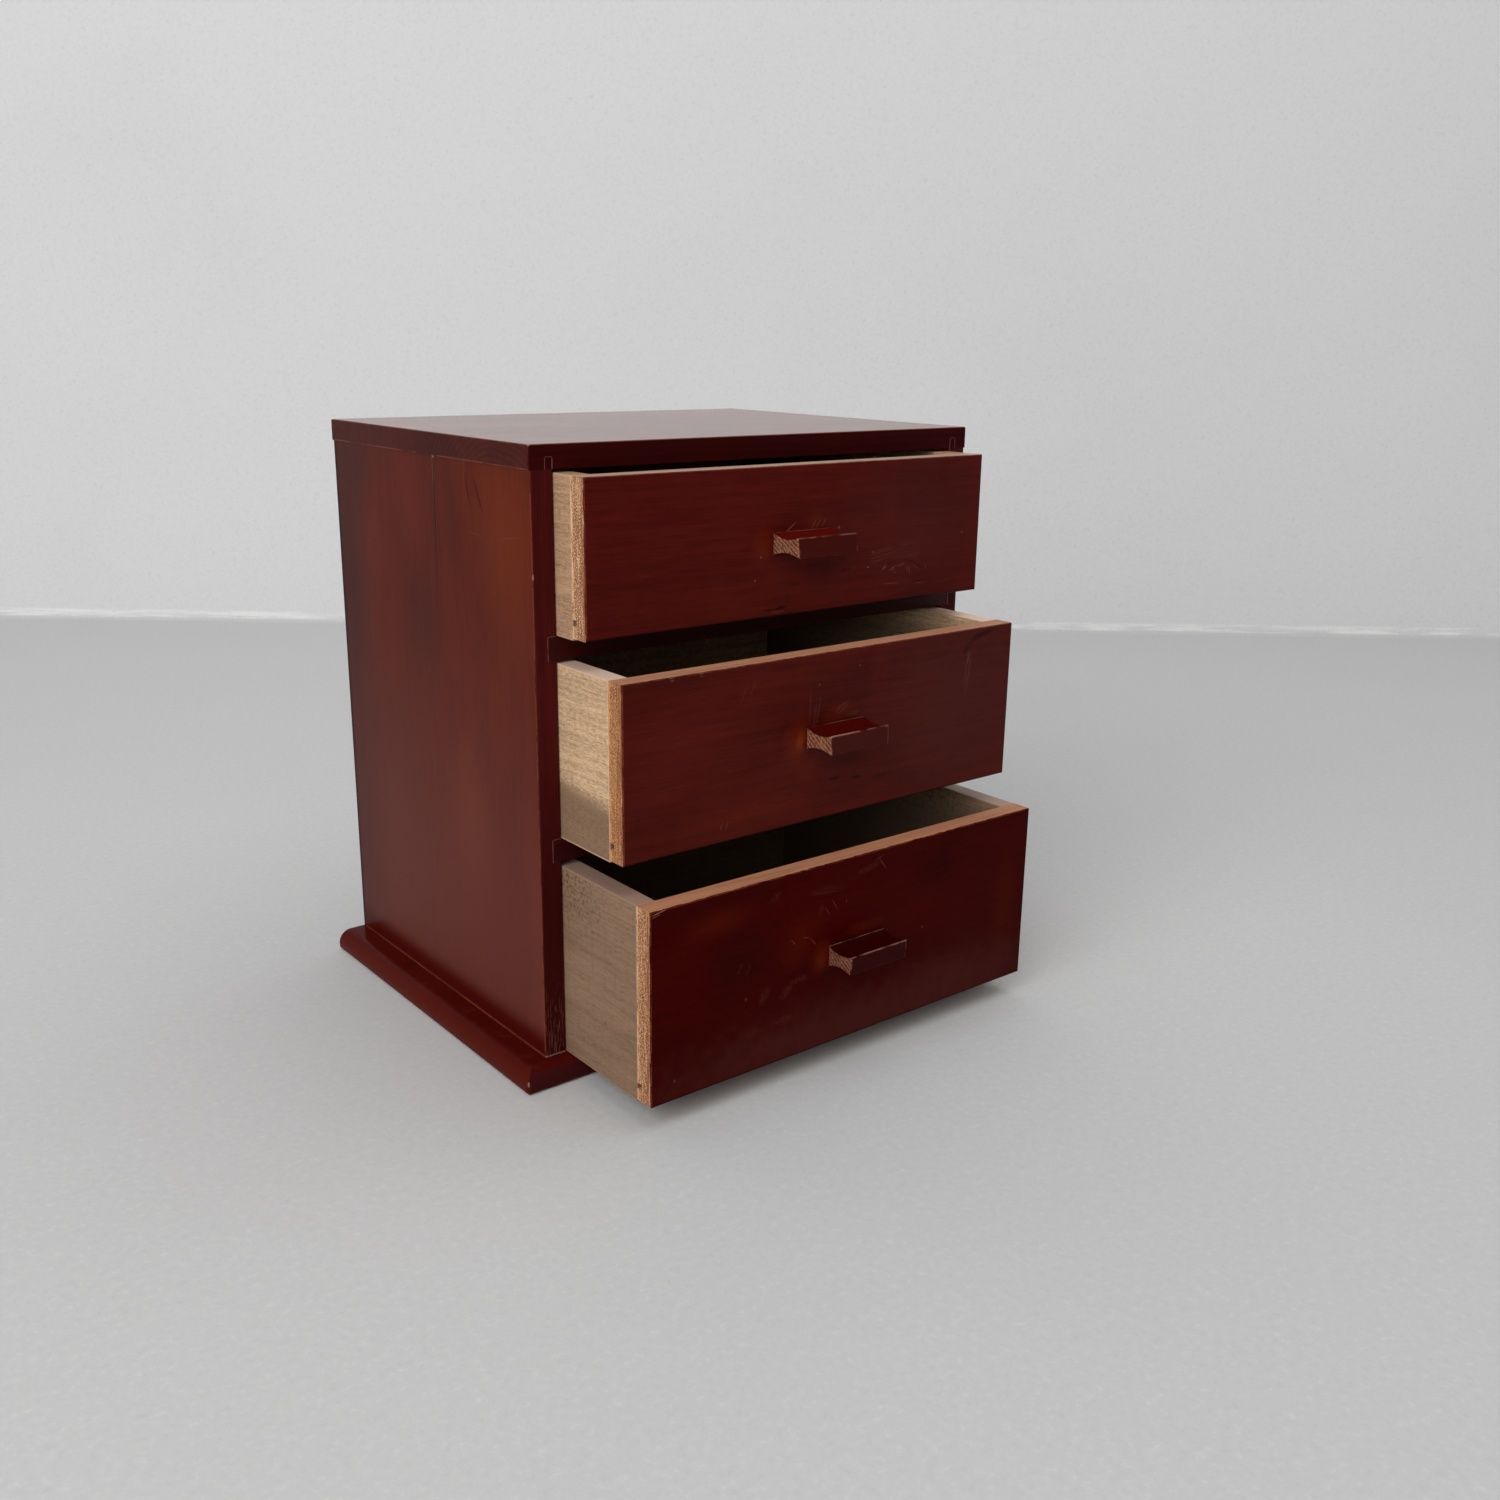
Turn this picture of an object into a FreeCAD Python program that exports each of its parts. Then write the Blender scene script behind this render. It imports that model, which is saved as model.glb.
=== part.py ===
import FreeCAD, Part
import os

from FreeCAD import Placement, Rotation, Vector

# A small table-top chest with three graduated drawers, in millimetres.
# X runs to the viewer's right, Y from the front to the back and Z up.
# The origin is the middle of the base's underside. The drawers stand part open.

# Case
case_width = 220.0  # over the two sides
case_depth = 168.0  # from the sides' front edges to the back
side_thickness = 9.0
side_front_board = 74.0  # width of each side's front board, up to its glue line
top_thickness = 9.0
top_overhang = 0.7  # of the top past each side
shelf_thickness = 9.0
lower_bay = 80.5  # clear height for each drawer
middle_bay = 69.5
upper_bay = 60.5
back_thickness = 4.0

# Case joints
housing_depth = 3.3  # of the shelves in the sides
tongue_thickness = 2.8  # along the top of each side, level with its inner face
tongue_height = 4.3
rebate_width = 5.0  # for the back panel, in the sides
rebate_height = 4.5  # for the back panel, in the top

# Base
base_thickness = 9.0
base_side_overhang = 13.0
base_front_overhang = 8.5
base_round = 6.0  # rounded upper edge
base_foot_round = 1.5  # eased lower edge
base_corner_round = 2.0  # front corners, seen from above

# Drawers
front_thickness = 9.0
drawer_side_thickness = 8.5
drawer_back_thickness = 8.0
panel_thickness = 2.2
groove_depth = 2.7
groove_lift = 5.3  # from a drawer's lower edge to the groove for its bottom
front_lift = 0.7  # of a front's lower edge above the sides, which run on the shelf
upper_opening = 20.0  # how far each drawer stands out of the case
middle_opening = 42.5
lower_opening = 59.0

# Pulls
pull_length = 30.0
upper_pull_reach = 15.7
middle_pull_reach = 14.7
lower_pull_reach = 13.3
upper_pull_rise = -0.4  # of each pull above the middle of its front
middle_pull_rise = 0.85
lower_pull_rise = -0.4
pull_root_height = 8.8
pull_nose_height = 8.2
pull_cove = 1.5  # hollow of the upper and the lower face
pull_nose_round = 0.6
upper_pull_lean = 1.0  # how much further out the nose's lower edge stands than its upper edge
middle_pull_lean = 0.2
lower_pull_lean = -0.6

# Clearances
drawer_side_gap = 0.6
drawer_floor_gap = 0.3
upper_head_gap = 1.2  # above each drawer
middle_head_gap = 1.2
lower_head_gap = 2.2
drawer_end_gap = 0.5
panel_gap = 0.2  # play of a drawer's bottom in its grooves
hole_gap = 0.1  # around pins, loose tongues and screws
hole_end_gap = 0.5  # past the end of a pin, loose tongue or screw
head_sink = 0.3  # depth of a screw's head below the surface

# Eased edges
case_edge_round = 0.8
front_edge_round = 0.6
drawer_edge_round = 0.4

# Fasteners
base_screw_length = 26.0
base_screw_radius = 1.75
base_screw_head_radius = 3.4
pull_screw_length = 16.0
pull_screw_radius = 1.3
pull_screw_head_radius = 2.6
screw_recess_width = 0.9  # of the cross in a screw's head
screw_recess_depth = 0.8
loose_tongue_thickness = 2.8  # between a drawer's front and its sides
loose_tongue_height = 26.0
loose_tongue_length = 13.0
loose_tongue_in_front = 5.5  # part of its length that lies in the front
pin_width = 1.2  # pins are flat brads with a T head
pin_thickness = 1.0
pin_head_width = 2.0
pin_head_height = 0.8
drawer_pin_length = 18.0
drawer_pin_edge = 16.0  # from a drawer's upper and lower edges
back_pin_length = 14.0
back_pin_spacing = 70.0  # along the shelves

# Places that follow from the sizes
half_case = case_width / 2
half_inner = half_case - side_thickness
back_y = (case_depth + base_front_overhang) / 2
front_y = back_y - case_depth
seam_y = front_y + side_front_board
panel_y = back_y - back_thickness
lower_floor_z = base_thickness
lower_shelf_z = lower_floor_z + lower_bay
middle_floor_z = lower_shelf_z + shelf_thickness
upper_shelf_z = middle_floor_z + middle_bay
upper_floor_z = upper_shelf_z + shelf_thickness
top_z = upper_floor_z + upper_bay
drawer_length = case_depth - back_thickness - drawer_end_gap
half_drawer = half_inner - drawer_side_gap
drawer_inner = half_drawer - drawer_side_thickness
groove_height = panel_thickness + panel_gap
side_board_middles = [(front_y + seam_y) / 2, (seam_y + back_y) / 2]

shelf_heights = {"lower": lower_shelf_z, "upper": upper_shelf_z}
bays = {
    "lower": (lower_floor_z, lower_bay),
    "middle": (middle_floor_z, middle_bay),
    "upper": (upper_floor_z, upper_bay),
}
openings = {"lower": lower_opening, "middle": middle_opening, "upper": upper_opening}
head_gaps = {"lower": lower_head_gap, "middle": middle_head_gap, "upper": upper_head_gap}
pull_reaches = {"lower": lower_pull_reach, "middle": middle_pull_reach, "upper": upper_pull_reach}
pull_rises = {"lower": lower_pull_rise, "middle": middle_pull_rise, "upper": upper_pull_rise}
pull_leans = {"lower": lower_pull_lean, "middle": middle_pull_lean, "upper": upper_pull_lean}

close_enough = 1e-4
left_right = {"left": -1, "right": 1}


# General shapes

def block(x_span, y_span, z_span):
    corner = Vector(x_span[0], y_span[0], z_span[0])
    return Part.makeBox(x_span[1] - x_span[0], y_span[1] - y_span[0], z_span[1] - z_span[0], corner)


def outline(points):
    corners = [Vector(*point) for point in points]
    return Part.Face(Part.makePolygon(corners + corners[:1]))


def turned(radius_height):
    # A solid of revolution about Z from the axis, out along (radius, height) points and back.
    profile = outline([(radius, 0, height) for radius, height in radius_height])
    return profile.revolve(Vector(0, 0, 0), Vector(0, 0, 1), 360)


def placed(shape, start, direction):
    # The shape's own Z is turned to the direction, and its origin is put at start.
    copy = shape.copy()
    turn = Placement(Vector(*start), Rotation(Vector(0, 0, 1), Vector(*direction)))
    copy.Placement = turn.multiply(copy.Placement)
    return copy


def edges_at(shape, **places):
    # The edges that lie wholly at the given x, y or z.
    found = []
    for edge in shape.Edges:
        box = edge.BoundBox
        spans = {"x": (box.XMin, box.XMax), "y": (box.YMin, box.YMax), "z": (box.ZMin, box.ZMax)}
        if all(abs(end - place) < close_enough for axis, place in places.items() for end in spans[axis]):
            found.append(edge)
    return found


def without(shape, cutters):
    for cutter in cutters:
        shape = shape.cut(cutter)
    return shape


# Fasteners and their holes, each along Z from its head

def wood_screw(length, radius, head_radius):
    head_height = head_radius - radius
    screw = turned([
        (0, 0),
        (head_radius, 0),
        (radius, head_height),
        (radius, length),
        (0, length),
    ])
    arm = (-radius, radius)
    half_width = (-screw_recess_width / 2, screw_recess_width / 2)
    depth = (0, screw_recess_depth)
    return without(screw, [block(arm, half_width, depth), block(half_width, arm, depth)])


def screw_hole(length, radius, head_radius):
    # Its mouth is the surface; the screw lies head_sink below it.
    mouth = head_radius + hole_gap + head_sink
    shaft = radius + hole_gap
    return turned([
        (0, 0),
        (mouth, 0),
        (shaft, mouth - shaft),
        (shaft, head_sink + length + hole_end_gap),
        (0, head_sink + length + hole_end_gap),
    ])


def brad(length, gap=0, end_gap=0):
    # With gaps it is the hole for that brad.
    half_head = pin_head_width / 2 + gap
    half_width = pin_width / 2 + gap
    half_thickness = pin_thickness / 2 + gap
    head_end = pin_head_height + gap
    profile = outline([
        (-half_head, -half_thickness, 0),
        (half_head, -half_thickness, 0),
        (half_head, -half_thickness, head_end),
        (half_width, -half_thickness, head_end),
        (half_width, -half_thickness, length + end_gap),
        (-half_width, -half_thickness, length + end_gap),
        (-half_width, -half_thickness, head_end),
        (-half_head, -half_thickness, head_end),
    ])
    return profile.extrude(Vector(0, 2 * half_thickness, 0))


def brad_hole(length):
    return brad(length, hole_gap, hole_end_gap)


# Where the fasteners of the case stand: start and direction

def base_screw_places():
    x = half_case - side_thickness / 2
    return [((side * x, y, 0), (0, 0, 1)) for side in left_right.values() for y in side_board_middles]


def back_pin_places():
    rebate_x = half_inner + rebate_width / 2
    points = [(side * rebate_x, floor_z + height / 2)
              for floor_z, height in bays.values() for side in left_right.values()]
    points += [(step * back_pin_spacing, shelf_z + shelf_thickness / 2)
               for shelf_z in shelf_heights.values() for step in (-1, 0, 1)]
    return [((x, back_y, z), (0, -1, 0)) for x, z in points]


def base_screw_holes():
    hole = screw_hole(base_screw_length, base_screw_radius, base_screw_head_radius)
    return [placed(hole, *place) for place in base_screw_places()]


def back_pin_holes():
    return [placed(brad_hole(back_pin_length), *place) for place in back_pin_places()]


# Case

def side_profile():
    # A right side seen from the front: tongue at the top and a housing for each shelf.
    points = [
        (half_inner, front_y, base_thickness),
        (half_case, front_y, base_thickness),
        (half_case, front_y, top_z),
        (half_inner + tongue_thickness, front_y, top_z),
        (half_inner + tongue_thickness, front_y, top_z + tongue_height),
        (half_inner, front_y, top_z + tongue_height),
    ]
    for shelf_z in sorted(shelf_heights.values(), reverse=True):
        points += [
            (half_inner, front_y, shelf_z + shelf_thickness),
            (half_inner + housing_depth, front_y, shelf_z + shelf_thickness),
            (half_inner + housing_depth, front_y, shelf_z),
            (half_inner, front_y, shelf_z),
        ]
    return outline(points)


def side_boards():
    side = side_profile().extrude(Vector(0, case_depth, 0))
    side = side.makeFillet(case_edge_round, edges_at(side, x=half_case, y=front_y))
    rebate_span = (half_inner, half_inner + rebate_width)
    side = side.cut(block(rebate_span, (panel_y, back_y), (base_thickness, top_z + tongue_height)))
    front_half = block((half_inner, half_case), (front_y, seam_y), (base_thickness, top_z + tongue_height))
    boards = {"front": side.common(front_half), "rear": side.cut(front_half)}
    holes = base_screw_holes() + back_pin_holes()
    nodes = {}
    for place, board in boards.items():
        mirrored = board.mirror(Vector(0, 0, 0), Vector(1, 0, 0))
        nodes[f"side_right_{place}_board"] = without(board, holes)
        nodes[f"side_left_{place}_board"] = without(mirrored, holes)
    return nodes


def top_board():
    half_top = half_case + top_overhang
    top = block((-half_top, half_top), (front_y, back_y), (top_z, top_z + top_thickness))
    upper_edges = edges_at(top, z=top_z + top_thickness)
    corners = edges_at(top, x=-half_top, y=front_y) + edges_at(top, x=half_top, y=front_y)
    top = top.makeFillet(case_edge_round, upper_edges + corners)
    for side in left_right.values():
        groove_x = sorted([side * half_inner, side * (half_inner + tongue_thickness)])
        top = top.cut(block(groove_x, (front_y, back_y), (top_z, top_z + tongue_height)))
    rebate_x = half_inner + rebate_width
    return top.cut(block((-rebate_x, rebate_x), (panel_y, back_y), (top_z, top_z + rebate_height)))


def shelf(shelf_z):
    half_shelf = half_inner + housing_depth
    board = block((-half_shelf, half_shelf), (front_y, panel_y), (shelf_z, shelf_z + shelf_thickness))
    return without(board, back_pin_holes())


def back_panel():
    half_panel = half_inner + rebate_width
    panel = block((-half_panel, half_panel), (panel_y, back_y), (base_thickness, top_z + rebate_height))
    return without(panel, back_pin_holes())


def rounded_edge_profile(half_span, along):
    # Half a board's cross-section, from its middle to its rounded edge, as points of (across, height).
    def point(across, height):
        return along * across + Vector(0, 0, height)

    bend = 0.5 ** 0.5
    shoulder = half_span - base_round
    shoulder_z = base_thickness - base_round
    heel = half_span - base_foot_round
    upper_arc = Part.Arc(
        point(shoulder, base_thickness),
        point(shoulder + base_round * bend, shoulder_z + base_round * bend),
        point(half_span, shoulder_z),
    )
    lower_arc = Part.Arc(
        point(half_span, base_foot_round),
        point(heel + base_foot_round * bend, base_foot_round * (1 - bend)),
        point(heel, 0),
    )
    lines = [
        Part.makeLine(point(0, 0), point(0, base_thickness)),
        Part.makeLine(point(0, base_thickness), point(shoulder, base_thickness)),
        Part.makeLine(point(half_span, shoulder_z), point(half_span, base_foot_round)),
        Part.makeLine(point(heel, 0), point(0, 0)),
    ]
    wire = Part.Wire([lines[0], lines[1], upper_arc.toShape(), lines[2], lower_arc.toShape(), lines[3]])
    return Part.Face(wire)


def base_board():
    # The front and side edges are rounded alike and meet in a mitre at the front corners.
    half_base = half_case + base_side_overhang
    base_front = front_y - base_front_overhang
    base_depth = back_y - base_front
    right_half = rounded_edge_profile(half_base, Vector(1, 0, 0)).extrude(Vector(0, base_depth, 0))
    right_half.translate(Vector(0, base_front, 0))
    left_half = right_half.mirror(Vector(0, 0, 0), Vector(1, 0, 0))
    rounded_sides = right_half.fuse(left_half).removeSplitter()
    rounded_front = rounded_edge_profile(base_depth, Vector(0, -1, 0)).extrude(Vector(2 * half_base, 0, 0))
    rounded_front.translate(Vector(-half_base, back_y, 0))
    plan = block((-half_base, half_base), (base_front, back_y), (0, base_thickness))
    corners = edges_at(plan, x=-half_base, y=base_front) + edges_at(plan, x=half_base, y=base_front)
    plan = plan.makeFillet(base_corner_round, corners)
    return without(rounded_sides.common(rounded_front).common(plan), base_screw_holes())


def base_screws():
    screw = wood_screw(base_screw_length, base_screw_radius, base_screw_head_radius)
    screw.translate(Vector(0, 0, head_sink))
    return Part.makeCompound([placed(screw, *place) for place in base_screw_places()])


def back_pins():
    return Part.makeCompound([placed(brad(back_pin_length), *place) for place in back_pin_places()])


# Drawers

def drawer_spans(name):
    floor_z, height = bays[name]
    face_y = front_y - openings[name]
    return face_y, floor_z + drawer_floor_gap, floor_z + height - head_gaps[name]


def pull_middle(name):
    face_y, low_z, high_z = drawer_spans(name)
    return Vector(0, face_y, (low_z + front_lift + high_z) / 2 + pull_rises[name])


def drawer_pin_places(name):
    face_y, low_z, high_z = drawer_spans(name)
    y = face_y + drawer_length - drawer_back_thickness / 2
    heights = (low_z + drawer_pin_edge, high_z - drawer_pin_edge)
    return [((side * half_drawer, y, z), (-side, 0, 0)) for side in left_right.values() for z in heights]


def pull_screw_place(name):
    # From inside the drawer, through the front into the middle of the pull.
    return pull_middle(name) + Vector(0, front_thickness, 0), (0, -1, 0)


def loose_tongues(name, gap=0, end_gap=0):
    # One in the middle of each side's front end. With gaps they are the slots.
    face_y, low_z, high_z = drawer_spans(name)
    start_y = face_y + front_thickness - loose_tongue_in_front
    span_y = (start_y - end_gap, start_y + loose_tongue_length + end_gap)
    middle_z = (low_z + high_z) / 2
    half_height = loose_tongue_height / 2 + gap
    half_thickness = loose_tongue_thickness / 2 + gap
    tongues = []
    for side in left_right.values():
        x = side * (half_drawer - drawer_side_thickness / 2)
        span_x = (x - half_thickness, x + half_thickness)
        tongues.append(block(span_x, span_y, (middle_z - half_height, middle_z + half_height)))
    return tongues


def loose_tongue_slots(name):
    return loose_tongues(name, hole_gap, hole_end_gap)


def drawer_pin_holes(name):
    return [placed(brad_hole(drawer_pin_length), *place) for place in drawer_pin_places(name)]


def pull_screw_hole(name):
    hole = screw_hole(pull_screw_length, pull_screw_radius, pull_screw_head_radius)
    return placed(hole, *pull_screw_place(name))


def drawer_front(name):
    face_y, low_z, high_z = drawer_spans(name)
    rear_y = face_y + front_thickness
    board = block((-half_drawer, half_drawer), (face_y, rear_y), (low_z + front_lift, high_z))
    board = board.makeFillet(front_edge_round, edges_at(board, y=face_y))
    groove_z = (low_z + groove_lift, low_z + groove_lift + groove_height)
    groove = block((-half_drawer, half_drawer), (rear_y - groove_depth, rear_y), groove_z)
    return without(board, [groove, pull_screw_hole(name)] + loose_tongue_slots(name))


def drawer_side(name, side):
    face_y, low_z, high_z = drawer_spans(name)
    span_y = (face_y + front_thickness, face_y + drawer_length)
    board = block(sorted([side * drawer_inner, side * half_drawer]), span_y, (low_z, high_z))
    inner_edge = edges_at(board, x=side * drawer_inner, z=high_z)
    outer_edge = edges_at(board, x=side * half_drawer, z=high_z)
    board = board.makeFillet(drawer_edge_round, inner_edge + outer_edge)
    groove_x = sorted([side * drawer_inner, side * (drawer_inner + groove_depth)])
    groove = block(groove_x, span_y, (low_z + groove_lift, low_z + groove_lift + groove_height))
    return without(board, [groove] + loose_tongue_slots(name) + drawer_pin_holes(name))


def drawer_back(name):
    # It stands on the bottom panel, between the sides.
    face_y, low_z, high_z = drawer_spans(name)
    span_y = (face_y + drawer_length - drawer_back_thickness, face_y + drawer_length)
    board = block((-drawer_inner, drawer_inner), span_y, (low_z + groove_lift + panel_thickness, high_z))
    return without(board, drawer_pin_holes(name))


def drawer_bottom(name):
    face_y, low_z, high_z = drawer_spans(name)
    half_panel = drawer_inner + groove_depth - panel_gap
    span_y = (face_y + front_thickness - groove_depth + panel_gap, face_y + drawer_length)
    span_z = (low_z + groove_lift, low_z + groove_lift + panel_thickness)
    return block((-half_panel, half_panel), span_y, span_z)


def pull_profile(upper_reach, lower_reach):
    # Seen from the end: hollowed above and below, with a flat nose. Points are (outward, height).
    def point(outward, height):
        return Vector(0, -outward, height)

    root = pull_root_height / 2
    nose = pull_nose_height / 2
    waist = (root + nose) / 2 - pull_cove
    upper_cove = Part.Arc(point(0, root), point(upper_reach / 2, waist), point(upper_reach, nose))
    lower_cove = Part.Arc(point(lower_reach, -nose), point(lower_reach / 2, -waist), point(0, -root))
    wire = Part.Wire([
        upper_cove.toShape(),
        Part.makeLine(point(upper_reach, nose), point(lower_reach, -nose)),
        lower_cove.toShape(),
        Part.makeLine(point(0, -root), point(0, root)),
    ])
    return Part.Face(wire)


def drawer_pull(name):
    upper_reach = pull_reaches[name] - pull_leans[name] / 2
    lower_reach = pull_reaches[name] + pull_leans[name] / 2
    pull = pull_profile(upper_reach, lower_reach).extrude(Vector(pull_length, 0, 0))
    nose = pull_nose_height / 2
    upper_edge = edges_at(pull, y=-upper_reach, z=nose)
    lower_edge = edges_at(pull, y=-lower_reach, z=-nose)
    pull = pull.makeFillet(pull_nose_round, upper_edge + lower_edge)
    pull.translate(pull_middle(name) - Vector(pull_length / 2, 0, 0))
    return pull.cut(pull_screw_hole(name))


def drawer_pins(name):
    pin = brad(drawer_pin_length)
    return Part.makeCompound([placed(pin, *place) for place in drawer_pin_places(name)])


def pull_screw(name):
    screw = wood_screw(pull_screw_length, pull_screw_radius, pull_screw_head_radius)
    screw.translate(Vector(0, 0, head_sink))
    return placed(screw, *pull_screw_place(name))


def case_nodes():
    nodes = side_boards()
    nodes["top_board"] = top_board()
    for name, shelf_z in shelf_heights.items():
        nodes[f"{name}_shelf"] = shelf(shelf_z)
    nodes["back_panel"] = back_panel()
    nodes["base_board"] = base_board()
    nodes["base_screws"] = base_screws()
    nodes["back_panel_pins"] = back_pins()
    return nodes


def drawer_nodes(name):
    nodes = {
        "front": drawer_front(name),
        "back": drawer_back(name),
        "bottom": drawer_bottom(name),
        "pull": drawer_pull(name),
        "loose_tongues": Part.makeCompound(loose_tongues(name)),
        "pins": drawer_pins(name),
        "pull_screw": pull_screw(name),
    }
    for word, side in left_right.items():
        nodes[f"{word}_side"] = drawer_side(name, side)
    return {f"{name}_drawer_{piece}": shape for piece, shape in nodes.items()}


all_nodes = case_nodes()
for drawer in bays:
    all_nodes.update(drawer_nodes(drawer))

os.makedirs("parts", exist_ok=True)
for node, shape in all_nodes.items():
    shape.exportStep(f"parts/{node}.step")
    print(node, len(shape.Solids), "solids", round(shape.Volume), "mm3")
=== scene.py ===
import math
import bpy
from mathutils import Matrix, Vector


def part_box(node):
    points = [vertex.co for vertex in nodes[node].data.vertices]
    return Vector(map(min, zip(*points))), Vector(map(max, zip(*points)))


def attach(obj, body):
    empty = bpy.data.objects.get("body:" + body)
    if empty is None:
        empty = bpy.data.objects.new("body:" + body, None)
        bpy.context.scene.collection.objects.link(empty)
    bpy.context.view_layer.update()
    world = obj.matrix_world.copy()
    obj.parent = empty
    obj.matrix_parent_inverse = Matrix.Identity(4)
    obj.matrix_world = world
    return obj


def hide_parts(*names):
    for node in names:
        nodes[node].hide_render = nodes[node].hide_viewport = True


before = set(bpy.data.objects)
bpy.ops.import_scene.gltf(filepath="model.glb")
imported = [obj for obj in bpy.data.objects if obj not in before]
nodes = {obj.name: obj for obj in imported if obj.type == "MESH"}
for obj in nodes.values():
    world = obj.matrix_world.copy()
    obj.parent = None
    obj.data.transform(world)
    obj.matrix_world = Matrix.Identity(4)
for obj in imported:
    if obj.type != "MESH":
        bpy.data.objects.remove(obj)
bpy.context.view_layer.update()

from types import SimpleNamespace

import bpy
import numpy as np
from mathutils import Matrix, Vector

mm = 0.001
drawerNames = ["lower", "middle", "upper"]
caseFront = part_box("side_left_front_board")[0].y / mm  # all shader sizes are in millimetres
print("frame loaded:", len(nodes), "nodes")


def boxOf(node):  # a node's lowest and highest corners in millimetres
    return [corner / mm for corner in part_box(node)]


seamPlace = boxOf("side_left_front_board")[1].y  # where the two boards of each side are glued
baseTop = boxOf("base_board")[1].z
topUnder = boxOf("top_board")[0].z


# Shader tools

seedStride = (7.31, 3.17, 5.73)  # each seed moves a noise this far, so that no two are alike


class Sock:  # a socket of a material: arithmetic on it adds Math nodes
    def __init__(self, finish, socket):
        self.finish = finish
        self.socket = socket

    def math(self, operation, *others):
        return self.finish.math(operation, self, *others)

    def __add__(self, other):
        return self.math("ADD", other)

    __radd__ = __add__

    def __sub__(self, other):
        return self.math("SUBTRACT", other)

    def __rsub__(self, other):
        return self.finish.math("SUBTRACT", other, self)

    def __mul__(self, other):
        return self.math("MULTIPLY", other)

    __rmul__ = __mul__

    def __truediv__(self, other):
        return self.math("DIVIDE", other)

    def __abs__(self):
        return self.math("ABSOLUTE")

    def least(self, other):
        return self.math("MINIMUM", other)

    def most(self, other):
        return self.math("MAXIMUM", other)

    def step(self, low, high):  # 0 before low, 1 past high, smooth between; falls where high is the smaller
        return self.finish.add("ShaderNodeMapRange", {"interpolation_type": "SMOOTHSTEP"},
                               {"Value": self, "From Min": low, "From Max": high})


class Finish:  # one material, built node by node
    def __init__(self, name):
        self.material = bpy.data.materials.new(name)
        self.material.use_nodes = True
        self.tree = self.material.node_tree
        self.tree.nodes.clear()
        self.mm = self.vector("SCALE", self.add("ShaderNodeTexCoord", out="Object"), Scale=1 / mm)
        self.axis = self.split(self.mm)
        self.facing = self.split(self.add("ShaderNodeTexCoord", out="Normal"))

    def pick(self, sockets, key):
        if isinstance(key, int):
            return sockets[key]
        return next(s for s in sockets if key in (s.identifier, s.name))

    def add(self, kind, settings=None, sockets=None, out=0):
        node = self.tree.nodes.new(kind)
        for key, value in (settings or {}).items():
            setattr(node, key, value)
        for key, value in (sockets or {}).items():
            socket = self.pick(node.inputs, key)
            if isinstance(value, Sock):
                self.tree.links.new(value.socket, socket)
            else:
                socket.default_value = value
        return Sock(self, self.pick(node.outputs, out)) if node.outputs else node

    def split(self, place):
        parts = self.add("ShaderNodeSeparateXYZ", {}, {0: place}).socket.node.outputs
        return {name: Sock(self, parts[i]) for i, name in enumerate("xyz")}

    def math(self, operation, *values):
        return self.add("ShaderNodeMath", {"operation": operation}, dict(enumerate(values)))

    def vector(self, operation, *values, **sockets):
        out = "Value" if operation == "LENGTH" else "Vector"
        sockets = {**dict(enumerate(values)), **sockets}
        return self.add("ShaderNodeVectorMath", {"operation": operation}, sockets, out)

    def mapped(self, kind, centre, turn, scale, place=None):
        return self.add("ShaderNodeMapping", {"vector_type": kind},
                        {"Vector": place or self.mm, "Location": centre, "Rotation": turn, "Scale": scale})

    def mix(self, first, second, share):
        pair = [value if isinstance(value, Sock) else (*value, 1) for value in (first, second)]
        return self.add("ShaderNodeMix", {"data_type": "RGBA"},
                        {"Factor_Float": share, "A_Color": pair[0], "B_Color": pair[1]}, "Result_Color")

    # Spacing is the size of the noise's lumps on each axis
    def noise(self, spacing, seed, detail=2.0, rough=0.5, place=None):
        shift = [seed * stride for stride in seedStride]
        place = self.mapped("POINT", shift, (0, 0, 0), [1 / size for size in spacing], place)
        return self.add("ShaderNodeTexNoise", {},
                        {"Vector": place, "Scale": 1.0, "Detail": detail, "Roughness": rough})

    def edge(self, node):  # distance to the nearest edge of a node's box: the middle of three face distances
        low, high = boxOf(node)
        near = [(self.axis[a] - low[i]).least(high[i] - self.axis[a]) for i, a in enumerate("xyz")]
        return near[0].least(near[1]).most(near[0].most(near[1]).least(near[2]))

    def surface(self, colour, rough, height, depth, specular, coat=0.0, coatRough=0.2, metal=0.0):
        bump = self.add("ShaderNodeBump", {}, {"Strength": 1.0, "Distance": depth * mm, "Height": height})
        shader = self.add("ShaderNodeBsdfPrincipled", {}, {
            "Base Color": colour, "Roughness": rough, "Normal": bump, "Metallic": metal,
            "Specular IOR Level": specular, "Coat Weight": coat, "Coat Roughness": coatRough})
        self.add("ShaderNodeOutputMaterial", {}, {"Surface": shader})
        return self.material


def stretched(grain, lengthways, across):
    return [lengthways if name == grain else across for name in "xyz"]


# Growth rings are distances from the pith, a line along the grain.
# The rest is noise: its lengths along and across the grain.
grainLook = {"wander": (110, 26), "fibre": (14, 0.5), "fleck": (2.2, 0.5), "streak": (150, 3.2),
             "pore": (4.0, 0.5), "blotch": (75, 34)}


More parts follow.
